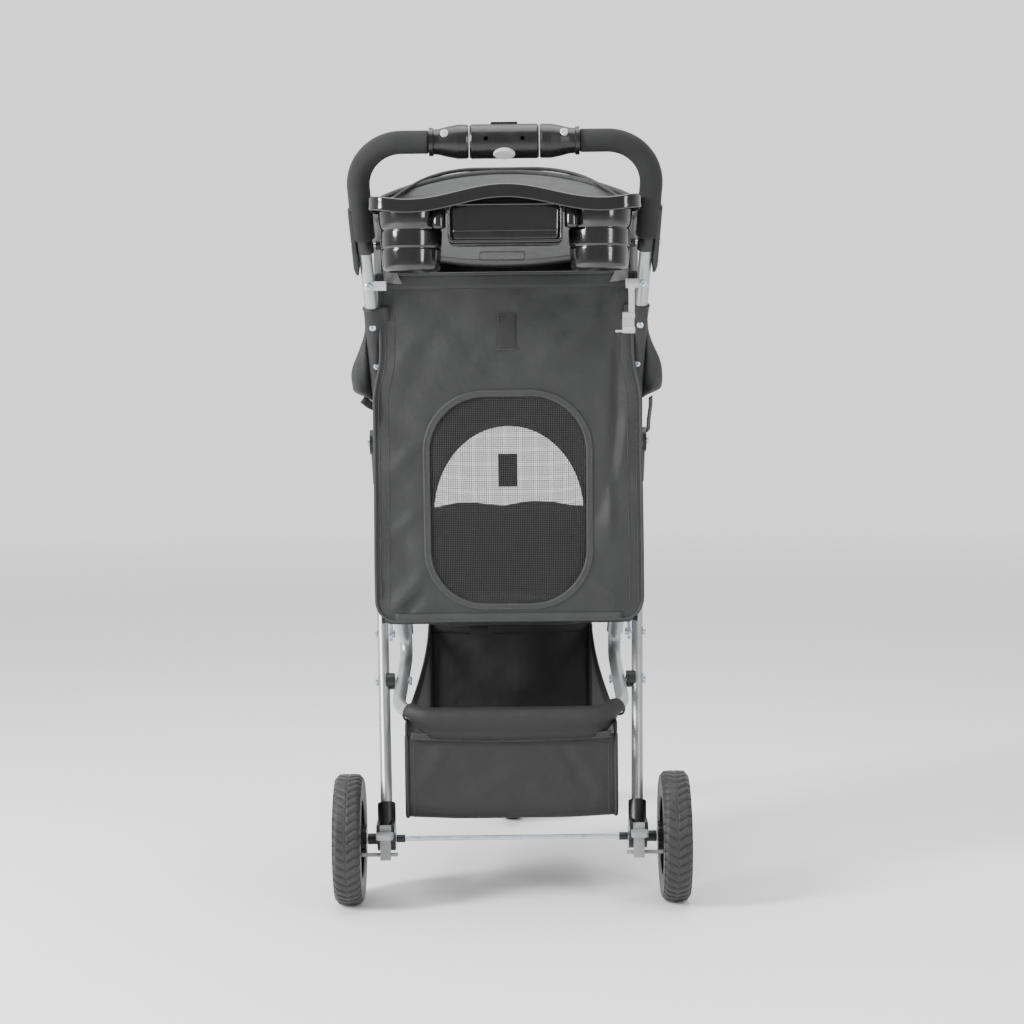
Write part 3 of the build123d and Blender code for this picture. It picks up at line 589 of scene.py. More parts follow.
def panel_rim(count):
    """Outer edge of the panel: rounded bottom corners, nearly straight sides and a level top."""
    corner, low, top = 26.0, 5.0, PANEL_LENGTH
    ring = []
    for k in range(count):
        turn = 2 * pi * k / count
        x, y = cos(turn), sin(turn)
        reach = min(1.0 / max(abs(x), 1e-9), 1.0 / max(abs(y), 1e-9))
        sx, sy = x * reach, y * reach
        v = low + (sy + 1) / 2 * (top - low)
        u = sx * panel_half(v)
        if v < low + corner and abs(u) > panel_half(v) - corner:
            du, dv = abs(u) - (panel_half(v) - corner), v - (low + corner)
            stretch = max(abs(du), abs(dv)) / max(hypot(du, dv), 1e-9)
            u = (1 if u > 0 else -1) * (panel_half(v) - corner + du * stretch)
            v = low + corner + dv * stretch
        ring.append((u, v))
    return ring


def window_ring(count, grow=0.0):
    """Rounded window outline, sampled at the same directions as the panel's rim."""
    w, h, r = WINDOW_HALF[0] + grow, WINDOW_HALF[1] + grow, WINDOW_CORNER + grow
    ring = []
    for k in range(count):
        turn = 2 * pi * k / count
        x, y = cos(turn), sin(turn)
        reach = min(w / max(abs(x), 1e-9), h / max(abs(y), 1e-9))
        u, v = x * reach, y * reach
        du, dv = abs(u) - (w - r), abs(v) - (h - r)
        if du > 0 and dv > 0:
            stretch = r / hypot(du, dv) if hypot(du, dv) > 0 else 1.0
            u = (1 if u > 0 else -1) * (w - r + du * stretch)
            v = (1 if v > 0 else -1) * (h - r + dv * stretch)
        ring.append((u, WINDOW_V + v))
    return ring


RING_COUNT = 240


def bend_cabin(*pieces):
    for made in pieces:
        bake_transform(made)


def rear_panel():
    rim, window = panel_rim(RING_COUNT), window_ring(RING_COUNT, 2.0)
    rings = 34
    points = []
    for i in range(rings):
        part = i / (rings - 1)
        for (u0, v0), (u1, v1) in zip(window, rim):
            points.append(on_panel(u0 + (u1 - u0) * part, v0 + (v1 - v0) * part))
    cloth = thicken(piece("rear_panel_cloth", points, grid_faces(rings, RING_COUNT, True), "cloth"), CLOTH)
    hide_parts("cabin_rear_panel")
    rim_path = resample([on_panel(u, v, 0.6) for u, v in rim], 0.004, True)
    piping = cord_piece("rear_panel_piping", rim_path, 0.0022, "binding", True)
    ring = [on_panel(u, v, 0.9) for u, v in window_ring(RING_COUNT, 4.0)]
    edge = strip("window_binding", ring, PANEL_OUT, 0.0095, 0.0016, "binding", True)
    seams = [[on_panel(u, v, 2.0) for u, v in window_ring(RING_COUNT, grow)] for grow in (1.4, 6.6)]
    for side in SIDES.values():
        for inset in (6.0, 17.0):
            seams.append([on_panel(side * (panel_half(v) - inset), v, 1.0) for v in range(28, 436, 6)])
    for v in (PANEL_LENGTH - 4, PANEL_LENGTH - 17):
        seams.append([on_panel(u, v, 1.0) for u in range(-150, 151, 6)])
    seams.append([on_panel(u, 14, 1.0) for u in range(-140, 141, 6)])
    rows = stitches("rear_panel_stitching", seams, PANEL_OUT)
    tape_edges = [(-10.5, 352.0), (10.5, 352.0), (10.5, 396.0), (-10.5, 396.0)]
    patch = surface("rear_panel_hook_patch", lambda i, j: on_panel(-11 + 22 * j, 351 + 45 * i, 1.3), 24, 12,
                    "hook_tape", 0.0012)
    tape_path = [on_panel(u, v, 2.2) for u, v in tape_edges]
    patch_rows = stitches("hook_patch_stitching", [tape_path + tape_path[:1]], PANEL_OUT)
    top_edge = [on_panel(u, PANEL_LENGTH - 9, 1.0) for u in range(-160, 161, 5)]
    low_edge = [on_panel(u, 9.5, 1.0) for u in range(-146, 147, 5)]
    hem = strip("rear_panel_hem", top_edge, PANEL_OUT, 0.019, 0.0014, "cloth")
    low_hem = strip("rear_panel_low_hem", low_edge, PANEL_OUT, 0.011, 0.0016, "binding")
    return [cloth, piping, edge, rows, patch, patch_rows, hem, low_hem]


def window_netting():
    """Open netting in the rear window: crossed yarns, each a thin square bar."""
    w, h, r = WINDOW_HALF[0] + 3, WINDOW_HALF[1] + 3, WINDOW_CORNER
    section = round_section(0.00022, 4)
    parts = []

    def reach(offset, half_a, half_b):
        """How far a yarn runs from the middle, at an offset across the window."""
        inner = half_a - r
        if abs(offset) <= inner:
            return half_b
        return half_b - r + sqrt(max(0.0, r * r - (abs(offset) - inner) ** 2))

    step = 2.3
    for k in range(-int(w / step), int(w / step) + 1):
        u = k * step
        run = reach(u, w, h)
        path = [on_panel(u, WINDOW_V - run + 2 * run * t / 16, -0.2) for t in range(17)]
        parts.append(swept(path, section, PANEL_OUT))
    for k in range(-int(h / step), int(h / step) + 1):
        v = k * step
        run = reach(v, h, w)
        path = [on_panel(-run + 2 * run * t / 12, WINDOW_V + v, -0.6) for t in range(13)]
        parts.append(swept(path, section, PANEL_OUT))
    net = joined("rear_window_netting", parts, "netting")
    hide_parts("rear_window_mesh")
    return net


# ------------------------------------------------------------- cabin sides and floor

# Height, then (half-width, Y) of the side wall's rear edge, knee, waist, shoulder and front
CABIN_LEVELS = (
    (354, (163, 31), (131, 108), (131, 230), (126, 350), (96, 416)),
    (500, (163, 13), (140, 60), (134, 220), (129, 350), (98, 418)),
    (640, (162, -4), (150, 16), (135, 210), (130, 350), (98, 418)),
    (700, (157, -9), (152, 4), (137, 210), (131, 350), (98, 418)),
    (796, (157, -18), (152, -4), (139, 210), (132, 350), (98, 418)),
)
HOOD_PIVOT = (-53.0, 831.0)
HOOD_START = 60.0
HOOD_HALF = 156.0
HOOD_FULL = 25.0        # how far the hood's sides belly out
LOW_SLOPE = -36.0


def wall_point(level, across):
    """Point of the cabin's wall at one level; across is 0 at the rear edge and 1 at the front's middle."""
    z, *corners = level
    corners = corners + [(0, corners[-1][1] + 9)]
    marks = (0.0, 0.16, 0.42, 0.66, 0.82, 1.0)
    k = 0
    while k < len(marks) - 2 and across > marks[k + 1]:
        k += 1
    part = (across - marks[k]) / (marks[k + 1] - marks[k])
    before, after = corners[max(0, k - 1)], corners[min(len(corners) - 1, k + 2)]
    (x0, y0), (x1, y1) = corners[k], corners[k + 1]
    ease = part * part * (3 - 2 * part)
    bow = part * (1 - part) * 0.16
    x = x0 + (x1 - x0) * (part * 0.6 + ease * 0.4) + bow * ((x1 - before[0]) - (after[0] - x0)) * 0.5
    y = y0 + (y1 - y0) * part + bow * ((y1 - before[1]) - (after[1] - y0)) * 0.5
    return x, y, z


def wall_at(across, z):
    k = 0
    while k < len(CABIN_LEVELS) - 2 and z > CABIN_LEVELS[k + 1][0]:
        k += 1
    low, high = CABIN_LEVELS[k], CABIN_LEVELS[k + 1]
    part = (z - low[0]) / (high[0] - low[0])
    x0, y0, _ = wall_point(low, across)
    x1, y1, _ = wall_point(high, across)
    return x0 + (x1 - x0) * part, y0 + (y1 - y0) * part


def wall_top(y):
    """Height of the wall's top edge, under the hood's lower edge, with a sagging hem."""
    line = HOOD_PIVOT[1] - 4 + (y - HOOD_PIVOT[0]) * sin(radians(LOW_SLOPE)) / cos(radians(LOW_SLOPE))
    level = smooth_step(y, 330, 415)
    return min(792.0, line * (1 - level) + 478.0 * level)


def cabin_wall(side):
    def shape(down, across):
        across *= 0.9
        x, y = wall_at(across, 500)
        for _ in range(3):
            top = wall_top(y)
            z = top + (354 - top) * down
            x, y = wall_at(across, z)
        sag = 5.0 * sin(pi * min(1.0, across * 1.3)) * (1 - down) * ruffle(0, y, 0, 70.0, 2.0)
        push = 3.0 * ruffle(x, y, z, 80.0, side * 3.0) * sin(pi * down)
        push += 1.6 * ruffle(x, y, z, 33.0, side) * sin(pi * down)
        keep = smooth_step(across, 0.02, 0.12)
        ahead = smooth_step(across, 0.8, 1.0)
        return at(side * (x - abs(push) * keep * (1 - ahead)), y - push * ahead, z + sag * keep)

    name = hand(side)
    wall = surface(f"cabin_wall_{name}", shape, 44, 92, "cloth", CLOTH)
    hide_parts(f"cabin_side_{name}")
    return wall


def front_wall():
    def shape(down, across):
        side = -1 if across < 0.5 else 1
        x, y = wall_at(0.78 + 0.22 * (1 - abs(across * 2 - 1)), 400)
        wave = 0.5 - 0.5 * cos(2 * pi * (across * 2.1 + 0.04)) + 0.25 * ruffle(side * x, 0, 0, 30.0, 9.0)
        top = wall_top(y) + 8.0 * wave * sin(pi * across)
        z = top + (350 - top) * down
        push = 2.2 * ruffle(side * x, 0, z, 45.0, 5.0) * sin(pi * down)
        return at(side * x * 1.012, y + 1.5 - push, z)

    wall = surface("cabin_front_cloth", shape, 26, 64, "cloth", CLOTH)
    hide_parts("cabin_front_wall")
    top_edge, low_edge = [[shape(down, k / 60) for k in range(61)] for down in (0.02, 0.99)]
    hem = strip("cabin_front_hem", top_edge, Vector((0, 0.97, 0.2)), 0.012, 0.0034, "binding")
    low = cord_piece("cabin_front_low_piping", resample(low_edge, 0.004), 0.0024, "binding")
    return [wall, hem, low]


def wall_hem(side):
    path = []
    for k in range(4, 92):
        across = k / 100
        x, y = wall_at(across, 500)
        for _ in range(3):
            x, y = wall_at(across, wall_top(y))
        path.append(at(side * x, y, wall_top(y) - 3 + 3.0 * ruffle(0, y, 0, 70.0, 2.0)))
    return strip(f"cabin_wall_hem_{hand(side)}", path, Vector((side, 0, 0.05)), 0.010, 0.003, "binding")


def floor_pad():
    """Padded floor, puffed by a short cloth simulation and then subdivided."""
    low, high = (Vector(corner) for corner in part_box("cabin_floor"))
    middle, size = (low + high) / 2, high - low
    rows, cols = 30, 22
    points, faces = [], []
    for layer in (0, 1):
        first = len(points)
        for i in range(rows):
            for j in range(cols):
                s, t = j / (cols - 1) * 2 - 1, i / (rows - 1) * 2 - 1
                narrow = 1 - 0.2 * smooth_step(t, 0.55, 1.0)
                edge = (1 - s ** 6) * (1 - t ** 6)
                lift = (0.15 + 0.75 * edge) * size.z / 2 * (1 if layer else -1)
                points.append(middle + Vector((s * size.x / 2 * 0.97 * narrow, t * size.y / 2 * 0.97, lift)))
        quads = grid_faces(rows, cols, first=first)
        faces += quads if layer else [tuple(reversed(q)) for q in quads]
    rim = list(range(cols)) + [i * cols + cols - 1 for i in range(1, rows)]
    rim += [(rows - 1) * cols + j for j in range(cols - 2, -1, -1)]
    rim += [i * cols for i in range(rows - 2, 0, -1)]
    for k, here in enumerate(rim):
        there = rim[(k + 1) % len(rim)]
        faces.append((here, there, there + rows * cols, here + rows * cols))
    pad = piece("cabin_floor_pad", points, faces, "cloth_dark")
    puff(pad, 0.006)
    modifier(pad, "SUBSURF", levels=1, render_levels=1)
    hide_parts("cabin_floor")
    return pad


def puff(pad, cap):
    """Short pressure simulation; no point moves further than the cap, and the result is kept in the mesh."""
    start = [v.co.copy() for v in pad.data.vertices]
    cloth = pad.modifiers.new("cloth", "CLOTH")
    cloth.settings.use_pressure = True
    cloth.settings.uniform_pressure_force = 4
    cloth.settings.effector_weights.gravity = 0
    cloth.settings.quality = 5
    scene = bpy.context.scene
    for number in range(1, 21):
        scene.frame_set(number)
    settled = pad.evaluated_get(bpy.context.evaluated_depsgraph_get()).data
    found = [v.co.copy() for v in settled.vertices]
    pad.modifiers.remove(cloth)
    scene.frame_set(1)
    for v, a, b in zip(pad.data.vertices, start, found):
        move = b - a
        v.co = a + (move if move.length < cap else move.normalized() * cap)


# ------------------------------------------------------------------- hood and screen

# Angle above level, reach, roundness of the corners, narrowing towards the front
HOOD_STATIONS = ((33.5, 180.0, 2.1, 0.0), (22.0, 266.0, 2.4, 0.0), (9.6, 368.0, 2.5, 4.0))
SCREEN_STATIONS = ((9.2, 370.0, 2.5, 4.0), (-8.0, 455.0, 3.2, 11.0), (-24.0, 537.0, 4.2, 17.0),
                   (-39.5, 628.0, 4.8, 17.0))


def smooth_station(stations, part):
    """Values between the stations, eased so that the shell has no kink."""
    spot = part * (len(stations) - 1)
    k = min(len(stations) - 2, int(spot))
    t = spot - k
    values = []
    for n in range(4):
        p0 = stations[max(0, k - 1)][n]
        p1, p2 = stations[k][n], stations[k + 1][n]
        p3 = stations[min(len(stations) - 1, k + 2)][n]
        values.append(0.5 * (2 * p1 + (p2 - p0) * t + (2 * p0 - 5 * p1 + 4 * p2 - p3) * t * t
                             + (3 * p1 - p0 - 3 * p2 + p3) * t ** 3))
    return values


def dome_point(stations, part, round_part, grow=0.0):
    """Point of a hood shell: part runs along the stations, round_part from the right hinge to the left."""
    angle, reach, roundness, taper = smooth_station(stations, part)
    turn = pi * round_part
    power = 2 / roundness
    ahead = max(0.0, sin(turn)) ** power
    across = abs(cos(turn)) ** power * (1 if cos(turn) > 0 else -1)
    full = HOOD_FULL * sin(pi * min(1.0, ahead * 1.05)) * across ** 4
    x = (HOOD_HALF - taper * ahead + grow + full) * across
    out = HOOD_START + (reach + grow - HOOD_START) * ahead
    lean = radians(angle)
    return x, HOOD_PIVOT[0] + out * cos(lean), HOOD_PIVOT[1] + out * sin(lean)


def hood_cover():
    def shape(down, across):
        sag = -5.0 * sin(pi * down) * sin(pi * across)
        sag += 1.6 * ruffle(down * 200, across * 400, 0, 60.0)
        return at(*dome_point(HOOD_STATIONS, down, across, sag))

    cloth = surface("hood_cloth", shape, 26, 90, "cloth", 0.0014)
    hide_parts("hood_cover")
    parts = []
    for part, radius in ((0.0, 0.0042), (1.0, 0.0036)):
        path = resample([at(*dome_point(HOOD_STATIONS, part, k / 90, 1.0)) for k in range(91)], 0.005)
        parts.append(swept(path, round_section(radius, 10), Vector((0.02, 0.5, 0.85))))
    piping = joined("hood_piping", parts, "binding")
    seams = []
    for part in (0.05, 0.93):
        seams.append([at(*dome_point(HOOD_STATIONS, part, k / 120, 1.2)) for k in range(4, 117)])
    ridge = [(k / 20, 0.6 - 5.0 * sin(pi * k / 20)) for k in range(1, 20)]
    seams.append([at(*dome_point(HOOD_STATIONS, part, 0.5, lift)) for part, lift in ridge])
    rows = stitches("hood_stitching", seams, Vector((0, 0.2, 0.98)))
    return [cloth, piping, rows]


SCREEN_HALF = 111.0     # front mesh window: half-width, base height and rise
SCREEN_BASE = 474.0
SCREEN_RISE = 126.0


def in_screen_window(x, y, z, grow=0.0):
    if y < 300 or z < SCREEN_BASE - 8:
        return False
    return (x / (SCREEN_HALF + grow)) ** 2 + ((z - SCREEN_BASE) / (SCREEN_RISE + grow)) ** 2 < 1


def screen_depth(x, z):
    """Y of the screen's surface at a place on its front, by halving between inside and outside."""
    inside, outside = 260.0, 520.0
    for _ in range(24):
        y = (inside + outside) / 2
        angle = atan2(z - HOOD_PIVOT[1], y - HOOD_PIVOT[0]) * 180 / pi
        low, high = 0.0, 1.0
        for _ in range(14):
            part = (low + high) / 2
            low, high = (part, high) if smooth_station(SCREEN_STATIONS, part)[0] > angle else (low, part)
        _, reach, roundness, taper = smooth_station(SCREEN_STATIONS, part)
        ahead = (hypot(z - HOOD_PIVOT[1], y - HOOD_PIVOT[0]) - HOOD_START) / (reach - HOOD_START)
        across = abs(x) / (HOOD_HALF - taper * max(0.0, ahead))
        if max(0.0, ahead) ** roundness + across ** roundness < 1:
            inside = y
        else:
            outside = y
    return (inside + outside) / 2


def front_screen():
    rows, cols = 110, 180
    places = [(i / (rows - 1), j / (cols - 1)) for i in range(rows) for j in range(cols)]
    grid = [dome_point(SCREEN_STATIONS, down, across) for down, across in places]
    faces = []
    for face in grid_faces(rows, cols):
        middle = [sum(grid[k][n] for k in face) / 4 for n in range(3)]
        if not in_screen_window(*middle):
            faces.append(face)
    cloth = thicken(piece("front_screen_cloth", [at(*p) for p in grid], faces, "cloth"), CLOTH)
    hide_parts("front_screen")
    arch = []
    for k in range(61):
        turn = pi * k / 60
        x, z = (SCREEN_HALF + 1) * cos(turn), SCREEN_BASE + (SCREEN_RISE + 1) * sin(turn)
        arch.append(at(x, screen_depth(x, z), z))
    binding = strip("front_window_binding", arch, Vector((0, 1, 0.3)).normalized(), 0.010, 0.003, "binding")
    edge_path = resample([at(*dome_point(SCREEN_STATIONS, 1.0, k / 120)) for k in range(121)], 0.005)
    edge = cord_piece("front_screen_edge", edge_path, 0.003, "binding")
    section = round_section(0.00025, 4)
    parts = []
    step = 3.0
    for k in range(-int(SCREEN_HALF / step), int(SCREEN_HALF / step) + 1):
        x = k * step
        top = SCREEN_BASE + SCREEN_RISE * sqrt(max(0.0, 1 - (x / SCREEN_HALF) ** 2))
        heights = [SCREEN_BASE - 6 + (top - SCREEN_BASE + 6) * t / 8 for t in range(9)]
        path = [at(x, screen_depth(x, z), z) for z in heights]
        parts.append(swept(path, section, Vector((0, 1, 0))))
    for k in range(0, int(SCREEN_RISE / step) + 1):
        z = SCREEN_BASE + k * step
        run = SCREEN_HALF * sqrt(max(0.0, 1 - (k * step / SCREEN_RISE) ** 2))
        path = [at(-run + 2 * run * t / 12, screen_depth(-run + 2 * run * t / 12, z), z) for t in range(13)]
        parts.append(swept(path, section, Vector((0, 1, 0))))
    net = joined("front_window_netting", parts, "grey_netting")
    patch_y = screen_depth(0, 530) - 1.6
    patch = surface("front_window_patch", lambda i, j: at(-15 + 28 * j, patch_y, 508 + 48 * i), 14, 8,
                    "hook_tape", 0.0014)
    return [cloth, binding, edge, net, patch]


FLAP_HEM = (-10.0, 806.0)


def rear_flap():
    """Back of the hood: from the rear bow down to a curved hem over the cabin's rear opening."""
    def shape(down, across):
        x, y, z = dome_point(HOOD_STATIONS, 0.0, 0.03 + 0.94 * across, -4.0)
        hem_x = x * (0.98 - 0.02 * down)
        hem_z = FLAP_HEM[1] + 13 * (hem_x / 110) ** 2 - 34 * smooth_step(abs(hem_x), 112, 160)
        hem_y = FLAP_HEM[0] + 18 * (hem_x / 120) ** 2 - 14 * smooth_step(abs(hem_x), 120, 160)
        bulge = 4.0 * sin(pi * down) * cos(pi * (across - 0.5))
        wrinkle = 2.0 * ruffle(x, down * 120, 0, 34.0) * sin(pi * min(1.0, down * 1.1))
        return at(x + (hem_x - x) * down, y + (hem_y - y) * down - bulge - wrinkle, z + (hem_z - z) * down)

    cloth = surface("rear_flap_cloth", shape, 26, 80, "grey_flap", CLOTH)
    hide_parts("rear_flap")
    hem_path = [shape(0.985, k / 80) for k in range(81)]
    hem = strip("rear_flap_hem", hem_path, Vector((0, -0.77, 0.64)), 0.009, 0.0032, "binding")
    out = Vector((0, -0.77, 0.64))
    corners = ((0.86, 0.45), (0.86, 0.57), (0.945, 0.57), (0.945, 0.45), (0.86, 0.45))
    box = [shape(down, across) + out * 0.0012 for down, across in corners]
    above_hem = [shape(0.95, k / 80) + out * 0.0014 for k in range(4, 77)]
    rows = stitches("rear_flap_stitching", [box, above_hem], out)
    return [cloth, hem, rows]


# ---------------------------------------------------------------------------- basket

BASKET_LINE = ((2, 214), (3, 170), (3, 122), (11, 108), (60, 105), (145, 105), (230, 108), (274, 114),
               (284, 130), (286, 180), (287, 250), (288, 322))      # Y and Z, from the rear rim to the front
BASKET_FLOOR = 111.0    # where the netting of its sides begins
BASKET_REAR = 4.0
BASKET_FRONT = 288.0
BASKET_DEPTH = BASKET_FRONT - BASKET_REAR


def basket_half(y):
    return 133.0 - 21.0 * smooth_step(y, 5, 288)


def basket_sling():
    """Back, bottom and front of the basket in one length of cloth."""
    line = resample([at(0, y, z) for y, z in BASKET_LINE], 0.007)

    def shape(down, across):
        spot = down * (len(line) - 1)
        k = min(len(line) - 2, int(spot))
        base = line[k].lerp(line[k + 1], spot - k)
        y = (base.y - AXLE_Y) * 1000
        z = base.z * 1000
        x = (across * 2 - 1) * basket_half(y)
        edge = (1 - abs(across * 2 - 1) ** 3)
        back = 1 - smooth_step(y, 4, 24)
        low = smooth_step(y, 6, 40) * (1 - smooth_step(y, 250, 280))
        folds = 3.4 * crease(x, z, 75, 205, 128, 125, 9) - 2.8 * crease(x, z, 58, 205, 108, 128, 8)
        folds += 3.2 * crease(x, z, -80, 206, -126, 135, 8) + 2.4 * crease(x, z, 20, 150, 90, 122, 7)
        folds += 2.4 * crease(x, z, -60, 128, 10, 170, 10) + 1.6 * ruffle(x, z, 0, 34.0, 8.0)
        out_y = y - back * edge * (folds + 2.0) + (1 - back) * (1 - low) * edge * 2.4 * ruffle(x, 0, z, 40.0)
        sag = low * 2.5 + 2.5 * bell(z - 108, 10)
        out_z = z - edge * sag + low * edge * 1.2 * ruffle(x, y, 0, 45.0)
        return at(x, out_y, out_z)

    cloth = surface("basket_sling", shape, 96, 56, "cloth_dark", CLOTH)
    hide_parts("basket")
    edges = []
    for across in (0.0, 1.0):
        path = resample([shape(k / 140, across) for k in range(141)], 0.005)
        edges.append(swept(path, round_section(0.0028, 10), Vector((1, 0.02, 0.03)).normalized()))
    piping = joined("basket_edge_piping", edges, "webbing")
    proud = Vector((0, -0.0008, -0.0008))
    seams = [[shape(k / 200, across) + proud for k in range(4, 198)] for across in (0.035, 0.965)]
    rows = stitches("basket_edge_stitching", seams, Vector((0.02, -0.7, -0.7)).normalized())
    return [cloth, piping, rows]


def basket_top(y):
    """Height of the basket's side edges: from the rear rim up to the front, hanging a little."""
    part = (y - BASKET_REAR) / BASKET_DEPTH
    return 226 + 98 * (0.25 * part + 0.75 * part * part)


def basket_side_at(side, y, z):
    along = min(1.0, max(0.0, (y - BASKET_REAR) / BASKET_DEPTH))
    height = min(1.0, max(0.0, (z - 112) / (basket_top(y) - 112)))
    bulge = 5.0 * sin(pi * along) * sin(pi * height)
    return at(side * (basket_half(y) + bulge), y, z)


def basket_side(side):
    """Netting side wall and the tapes that bind its four edges."""
    name = hand(side)
    step = 3.2
    out = Vector((side, 0, 0))
    section = round_section(0.00035, 4)
    parts = []
    for k in range(int(BASKET_DEPTH / step) + 1):
        y = BASKET_REAR + k * step
        top = basket_top(y)
        upright = [basket_side_at(side, y, BASKET_FLOOR + (top - BASKET_FLOOR) * t / 8) for t in range(9)]
        parts.append(swept(upright, section, out))
    for k in range(int(208 / step)):
        z = 113 + k * step
        start = BASKET_REAR
        if z > 226:
            low, high = BASKET_REAR, BASKET_FRONT
            for _ in range(20):
                middle = (low + high) / 2
                low, high = (middle, high) if basket_top(middle) < z else (low, middle)
            start = high
        level = [basket_side_at(side, start + (BASKET_FRONT - start) * t / 10, z) for t in range(11)]
        parts.append(swept(level, section, out))
    net = joined(f"basket_netting_{name}", parts, "basket_netting")
    top_edge = [basket_side_at(side, 2 + 286 * k / 60, basket_top(2 + 286 * k / 60) - 4) for k in range(61)]
    edges = {
        "low": [basket_side_at(side, BASKET_REAR + BASKET_DEPTH * k / 60, 115) for k in range(61)],
        "rear": [basket_side_at(side, 8, BASKET_FLOOR + 115 * k / 20) for k in range(21)],
        "front": [basket_side_at(side, 283, 112 + 208 * k / 30) for k in range(31)],
    }
    tapes = [strip(f"basket_top_binding_{name}", top_edge, out, 0.017, 0.0034, "webbing")]
    for where, edge in edges.items():
        tapes.append(strip(f"basket_{where}_binding_{name}", edge, out, 0.013, 0.0030, "webbing"))
    return [net] + tapes


def basket_front_trim():
    """Binding along the front edge and two webbing straps up to the cabin floor."""
    made = []
    edge = [at(-112 + 224 * k / 40, 288.5, 321 - 3.0 * sin(pi * k / 40)) for k in range(41)]
    made.append(strip("basket_front_binding", edge, Vector((0, 1, 0)), 0.017, 0.0034, "webbing"))
    for x in (-92, 92):
        line = ((290.5, 300), (291.5, 318), (292, 335), (289, 346), (280, 350.5), (262, 351))
        path = resample([at(x, y, z) for y, z in line], 0.004)
        name = hand(x)
        ups = []
        for a, b in zip(path, path[1:] + [path[-1] * 2 - path[-2]]):
            ups.append(Vector((1, 0, 0)).cross(b - a).normalized())
        made.append(strip(f"basket_front_strap_{name}", path, ups, 0.020, 0.0018, "webbing"))
    return made


def hoop_line():
    """Middle of the hoop's tube across the rear, with its two bends."""
    half, bend = 145, 50.0
    turns = [pi / 2 * k / 16 for k in range(17)]
    line = [(-half + bend * (1 - cos(turn)), bend * (1 - sin(turn))) for turn in turns]
    line += [(-60, 0.0), (0, 0.0), (60, 0.0)]
    line += [(half - bend * (1 - cos(turn)), bend * (1 - sin(turn))) for turn in reversed(turns)]
    rise = Vector((0, 158, 62)).normalized()
    return [at(x, -5 + rise.y * up, 238 + rise.z * up) for x, up in line], rise


def rim_sleeve():
    """Cloth sleeve sewn round the hoop's rear run, hanging below it to the basket's back."""
    whole, _ = hoop_line()
    path = resample(whole, 0.005)[8:-6]
    half_section = [(6.5, 10.4), (10.2, 5.5), (11.0, -1.0), (8.8, -8.0), (4.6, -15.0), (1.6, -20.0),
                    (1.2, -26.0)]
    section = [(0, 12.0)] + half_section + [(-a, b) for a, b in reversed(half_section)]
    count = len(path)
    points, faces = [], []
    along = tangents(path, False)
    for i, (place, forward) in enumerate(zip(path, along)):
        spot = i / (count - 1)
        aside = forward.cross(Vector((0, 0, 1)))
        aside = aside.normalized() if aside.length > 1e-4 else Vector((0, 1, 0))
        up = aside.cross(forward).normalized()
        end = min(spot, 1 - spot)
        drop = 0.35 + 0.65 * smooth_step(end, 0.0, 0.14)
        slack = 1.0 + 0.05 * ruffle(place.x * 1000, 0, 0, 22.0)
        for a, b in section:
            low = b if b > 0 else b * drop * (1 + 0.16 * sin(pi * spot))
            lump = 0.6 * ruffle(place.x * 1000, a * 3, b * 3, 16.0)
            points.append(place + aside * ((a * slack + lump) / 1000) + up * (low / 1000))
    faces = grid_faces(count, len(section), True)
    cloth = thicken(piece("basket_rim_sleeve", points, faces, "cloth_dark"), 0.0010)
    hem = [at(-127 + 254 * k / 60, -3.5, 214 - 4.0 * sin(pi * k / 60)) for k in range(61)]
    tape = strip("basket_rim_seam", hem, Vector((0, -1, 0)), 0.010, 0.0030, "webbing")
    seams = [[p + Vector((0, -0.0019, dz)) for p in hem] for dz in (-0.003, 0.003)]
    rows = stitches("basket_rim_stitching", seams, Vector((0, -1, 0)))
    ends = []
    for place, forward in ((path[0], along[0]), (path[-1], along[-1])):
        aside = forward.cross(Vector((0, 0, 1))).normalized()
        up = aside.cross(forward).normalized()
        turns = [2 * pi * k / 24 for k in range(24)]
        ring = [place + aside * (0.0102 * cos(turn)) + up * (0.0105 * sin(turn)) for turn in turns]
        ends.append(swept(ring, round_section(0.0016, 8), forward, True))
    cuffs = joined("basket_rim_cuffs", ends, "webbing")
    return [cloth, tape, rows, cuffs]


# ------------------------------------------------------------------------------ tyres

